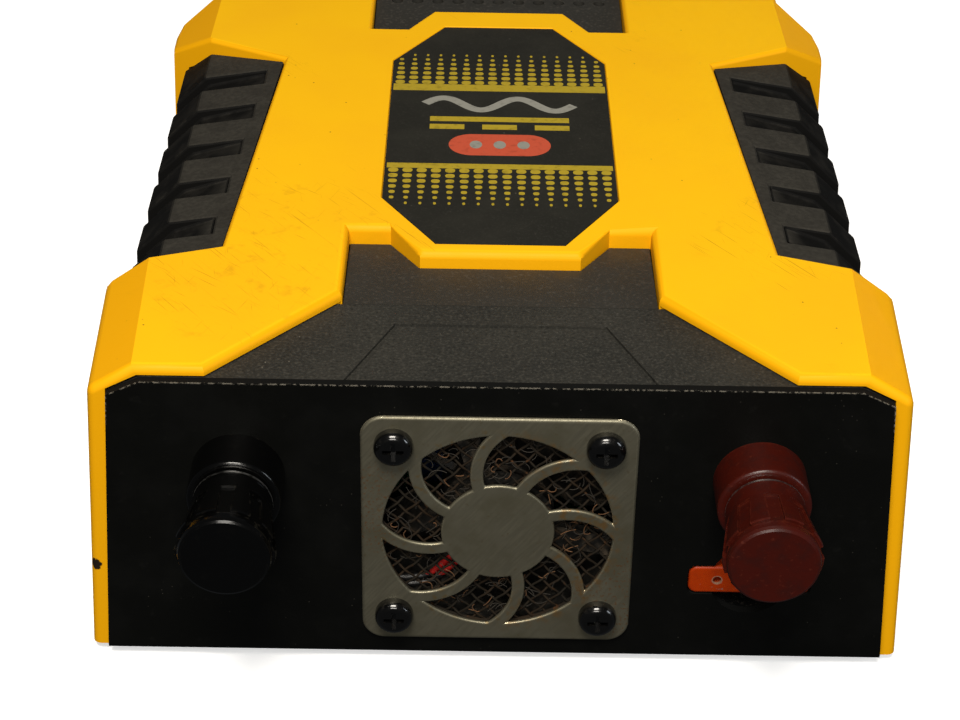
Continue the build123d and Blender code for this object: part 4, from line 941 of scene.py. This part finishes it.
# ---------------------------------------------------------------- woven dust screen
WIRE = 0.19 * MM  # the wire's radius
RIM_WIRE = 0.42 * MM
MESH_PITCH = 2.0 * MM
STEPS_PER_CELL = 6
WEAVE_SEED = 11
LINT_STEPS = 6
screen_low, screen_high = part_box("dust_screen")
screen_middle = (screen_low + screen_high) / 2
screen_radius = (screen_high.x - screen_low.x) / 2
rim_radius = screen_radius - 0.45 * MM
lint_reach = rim_radius - 1 * MM
weave_rng = random.Random(WEAVE_SEED)


def screen_point(angle, along, across, depth):
    """A point on the screen, in directions turned by an angle from X."""
    x = along * math.cos(angle) - across * math.sin(angle)
    z = along * math.sin(angle) + across * math.cos(angle)
    return (screen_middle.x + x, screen_middle.y + depth, screen_middle.z + z)


def woven_wires(angle, over):
    """One family of wires, which goes over and under the other."""
    wires = []
    count = int(rim_radius / MESH_PITCH)
    for k in range(-count, count + 1):
        across = k * MESH_PITCH
        half = math.sqrt(rim_radius ** 2 - across ** 2)
        steps = max(2, int(2 * half / MESH_PITCH * STEPS_PER_CELL))
        drift = weave_rng.uniform(-0.12, 0.12) * MM
        wire = []
        for i in range(steps + 1):
            along = -half + 2 * half * i / steps
            bow = drift * math.cos(math.pi * along / (2 * half))
            depth = over * WIRE * math.cos(math.pi * (along / MESH_PITCH + k))
            wire.append(screen_point(angle, along, across + bow, depth))
        wires.append(wire)
    return wires


def screen_rim(turns=72):
    """One closed round of wire that the woven wires end on."""
    return [[screen_point(2 * math.pi * i / turns, rim_radius, 0, 0) for i in range(turns + 1)]]


def fluff(count, length, seed):
    """Loose fibres caught flat on the front of the screen."""
    rng = random.Random(seed)
    fibres = []
    while len(fibres) < count:
        x = rng.uniform(-lint_reach, lint_reach)
        z = rng.uniform(-lint_reach, lint_reach)
        if math.hypot(x, z) > lint_reach:
            continue
        heading = rng.uniform(0, 2 * math.pi)
        bend = rng.uniform(-0.9, 0.9)
        step = length * rng.uniform(0.5, 1.3) / LINT_STEPS
        depth = -WIRE * rng.uniform(0.6, 1.9)
        fibre = []
        for _ in range(LINT_STEPS + 1):
            fibre.append((screen_middle.x + x, screen_middle.y + depth, screen_middle.z + z))
            x += step * math.cos(heading)
            z += step * math.sin(heading)
            heading += bend * rng.uniform(0.2, 1.0)
        if math.hypot(x, z) < lint_reach:
            fibres.append(fibre)
    return fibres


weave = woven_wires(math.radians(45), 1) + woven_wires(math.radians(135), -1)
wire_finish = wire_steel().done()
screen = strands("woven_screen", weave, WIRE, wire_finish)
strands("woven_screen_rim", screen_rim(), RIM_WIRE, wire_finish, sides=3)
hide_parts("dust_screen")
strands("lint_grey", fluff(130, length=3.0 * MM, seed=21), 0.05 * MM,
        lint("lint_grey", (0.030, 0.025, 0.019)).done(), sides=1)
strands("lint_rust", fluff(60, length=2.0 * MM, seed=22), 0.075 * MM,
        lint("lint_rust", (0.11, 0.05, 0.018)).done(), sides=1)


# ---------------------------------------------------------------- camera, light and stage
CAMERA_PLACE = Vector((-5.0, -354.45, 232.2)) * MM
CAMERA_ANGLES = (57.82, -0.93, 0.22)
CAMERA_LENS = 83.94
WORLD_LIGHT = 0.06
FLOOR_GLOW = 0.5
# Soft rectangular lights, all aimed at one point: place, width and height, watts and colour.
AIM = Vector((0, 0, 30)) * MM
LIGHTS = {
    "key_light": ((-0.06, -0.44, 0.70), (0.30, 0.26), 7.3, (1.0, 0.94, 0.84)),
    "side_light": ((0.62, -0.30, 0.27), (0.14, 0.22), 0.95, (0.86, 0.93, 1.0)),
    "front_light": ((-0.05, -0.80, 0.42), (0.30, 0.16), 2.5, (1.0, 0.95, 0.87)),
    "rear_light": ((0.35, 0.85, 0.17), (0.50, 0.26), 2.2, (1.0, 0.98, 0.95)),
}
NOT_MIRRORED = ("rear_light",)


def make_camera():
    data = bpy.data.cameras.new("camera")
    data.sensor_width = 36.0
    data.lens = CAMERA_LENS
    camera = bpy.data.objects.new("camera", data)
    camera.location = CAMERA_PLACE
    camera.rotation_euler = [math.radians(angle) for angle in CAMERA_ANGLES]
    scene.collection.objects.link(camera)
    scene.camera = camera


def make_lights():
    for name, (place, size, watts, colour) in LIGHTS.items():
        data = bpy.data.lights.new(name, "AREA")
        data.shape = "RECTANGLE"
        data.size, data.size_y = size
        data.energy = watts
        data.color = colour
        light = bpy.data.objects.new(name, data)
        light.location = place
        light.rotation_euler = (AIM - Vector(place)).to_track_quat("-Z", "Y").to_euler()
        light.visible_glossy = name not in NOT_MIRRORED
        scene.collection.objects.link(light)


def make_stage():
    """A wide floor of pale paper that glows a little and doesn't light the object."""
    shape = bmesh.new()
    bmesh.ops.create_grid(shape, x_segments=1, y_segments=1, size=3.0)
    floor = bpy.data.objects.new("floor", mesh_of(shape, "floor"))
    scene.collection.objects.link(floor)
    pale = Finish("floor_paper", (0.86, 0.87, 0.89), 0.9, Emission_Color=(1, 1, 1, 1),
                  Emission_Strength=FLOOR_GLOW)
    pale.relief(pale.noise(0.4 * MM), 0.02 * MM)
    floor.data.materials.append(pale.done())
    floor.visible_glossy = False
    floor.visible_diffuse = False


def make_world():
    """A pale surround for the camera, and dimmer light from it on the object."""
    world = bpy.data.worlds.new("world")
    world.use_nodes = True
    tree = world.node_tree
    surround = tree.nodes["Background"]
    surround.inputs["Color"].default_value = (0.9, 0.95, 1.0, 1.0)
    surround.inputs["Strength"].default_value = WORLD_LIGHT
    backdrop = tree.nodes.new("ShaderNodeBackground")
    backdrop.inputs["Color"].default_value = (0.93, 0.93, 0.93, 1.0)
    path = tree.nodes.new("ShaderNodeLightPath")
    choose = tree.nodes.new("ShaderNodeMixShader")
    tree.links.new(path.outputs["Is Camera Ray"], choose.inputs[0])
    tree.links.new(surround.outputs[0], choose.inputs[1])
    tree.links.new(backdrop.outputs[0], choose.inputs[2])
    tree.links.new(choose.outputs[0], tree.nodes["World Output"].inputs[0])
    scene.world = world


make_camera()
make_stage()
make_world()
make_lights()
scene.view_settings.view_transform = "Standard"
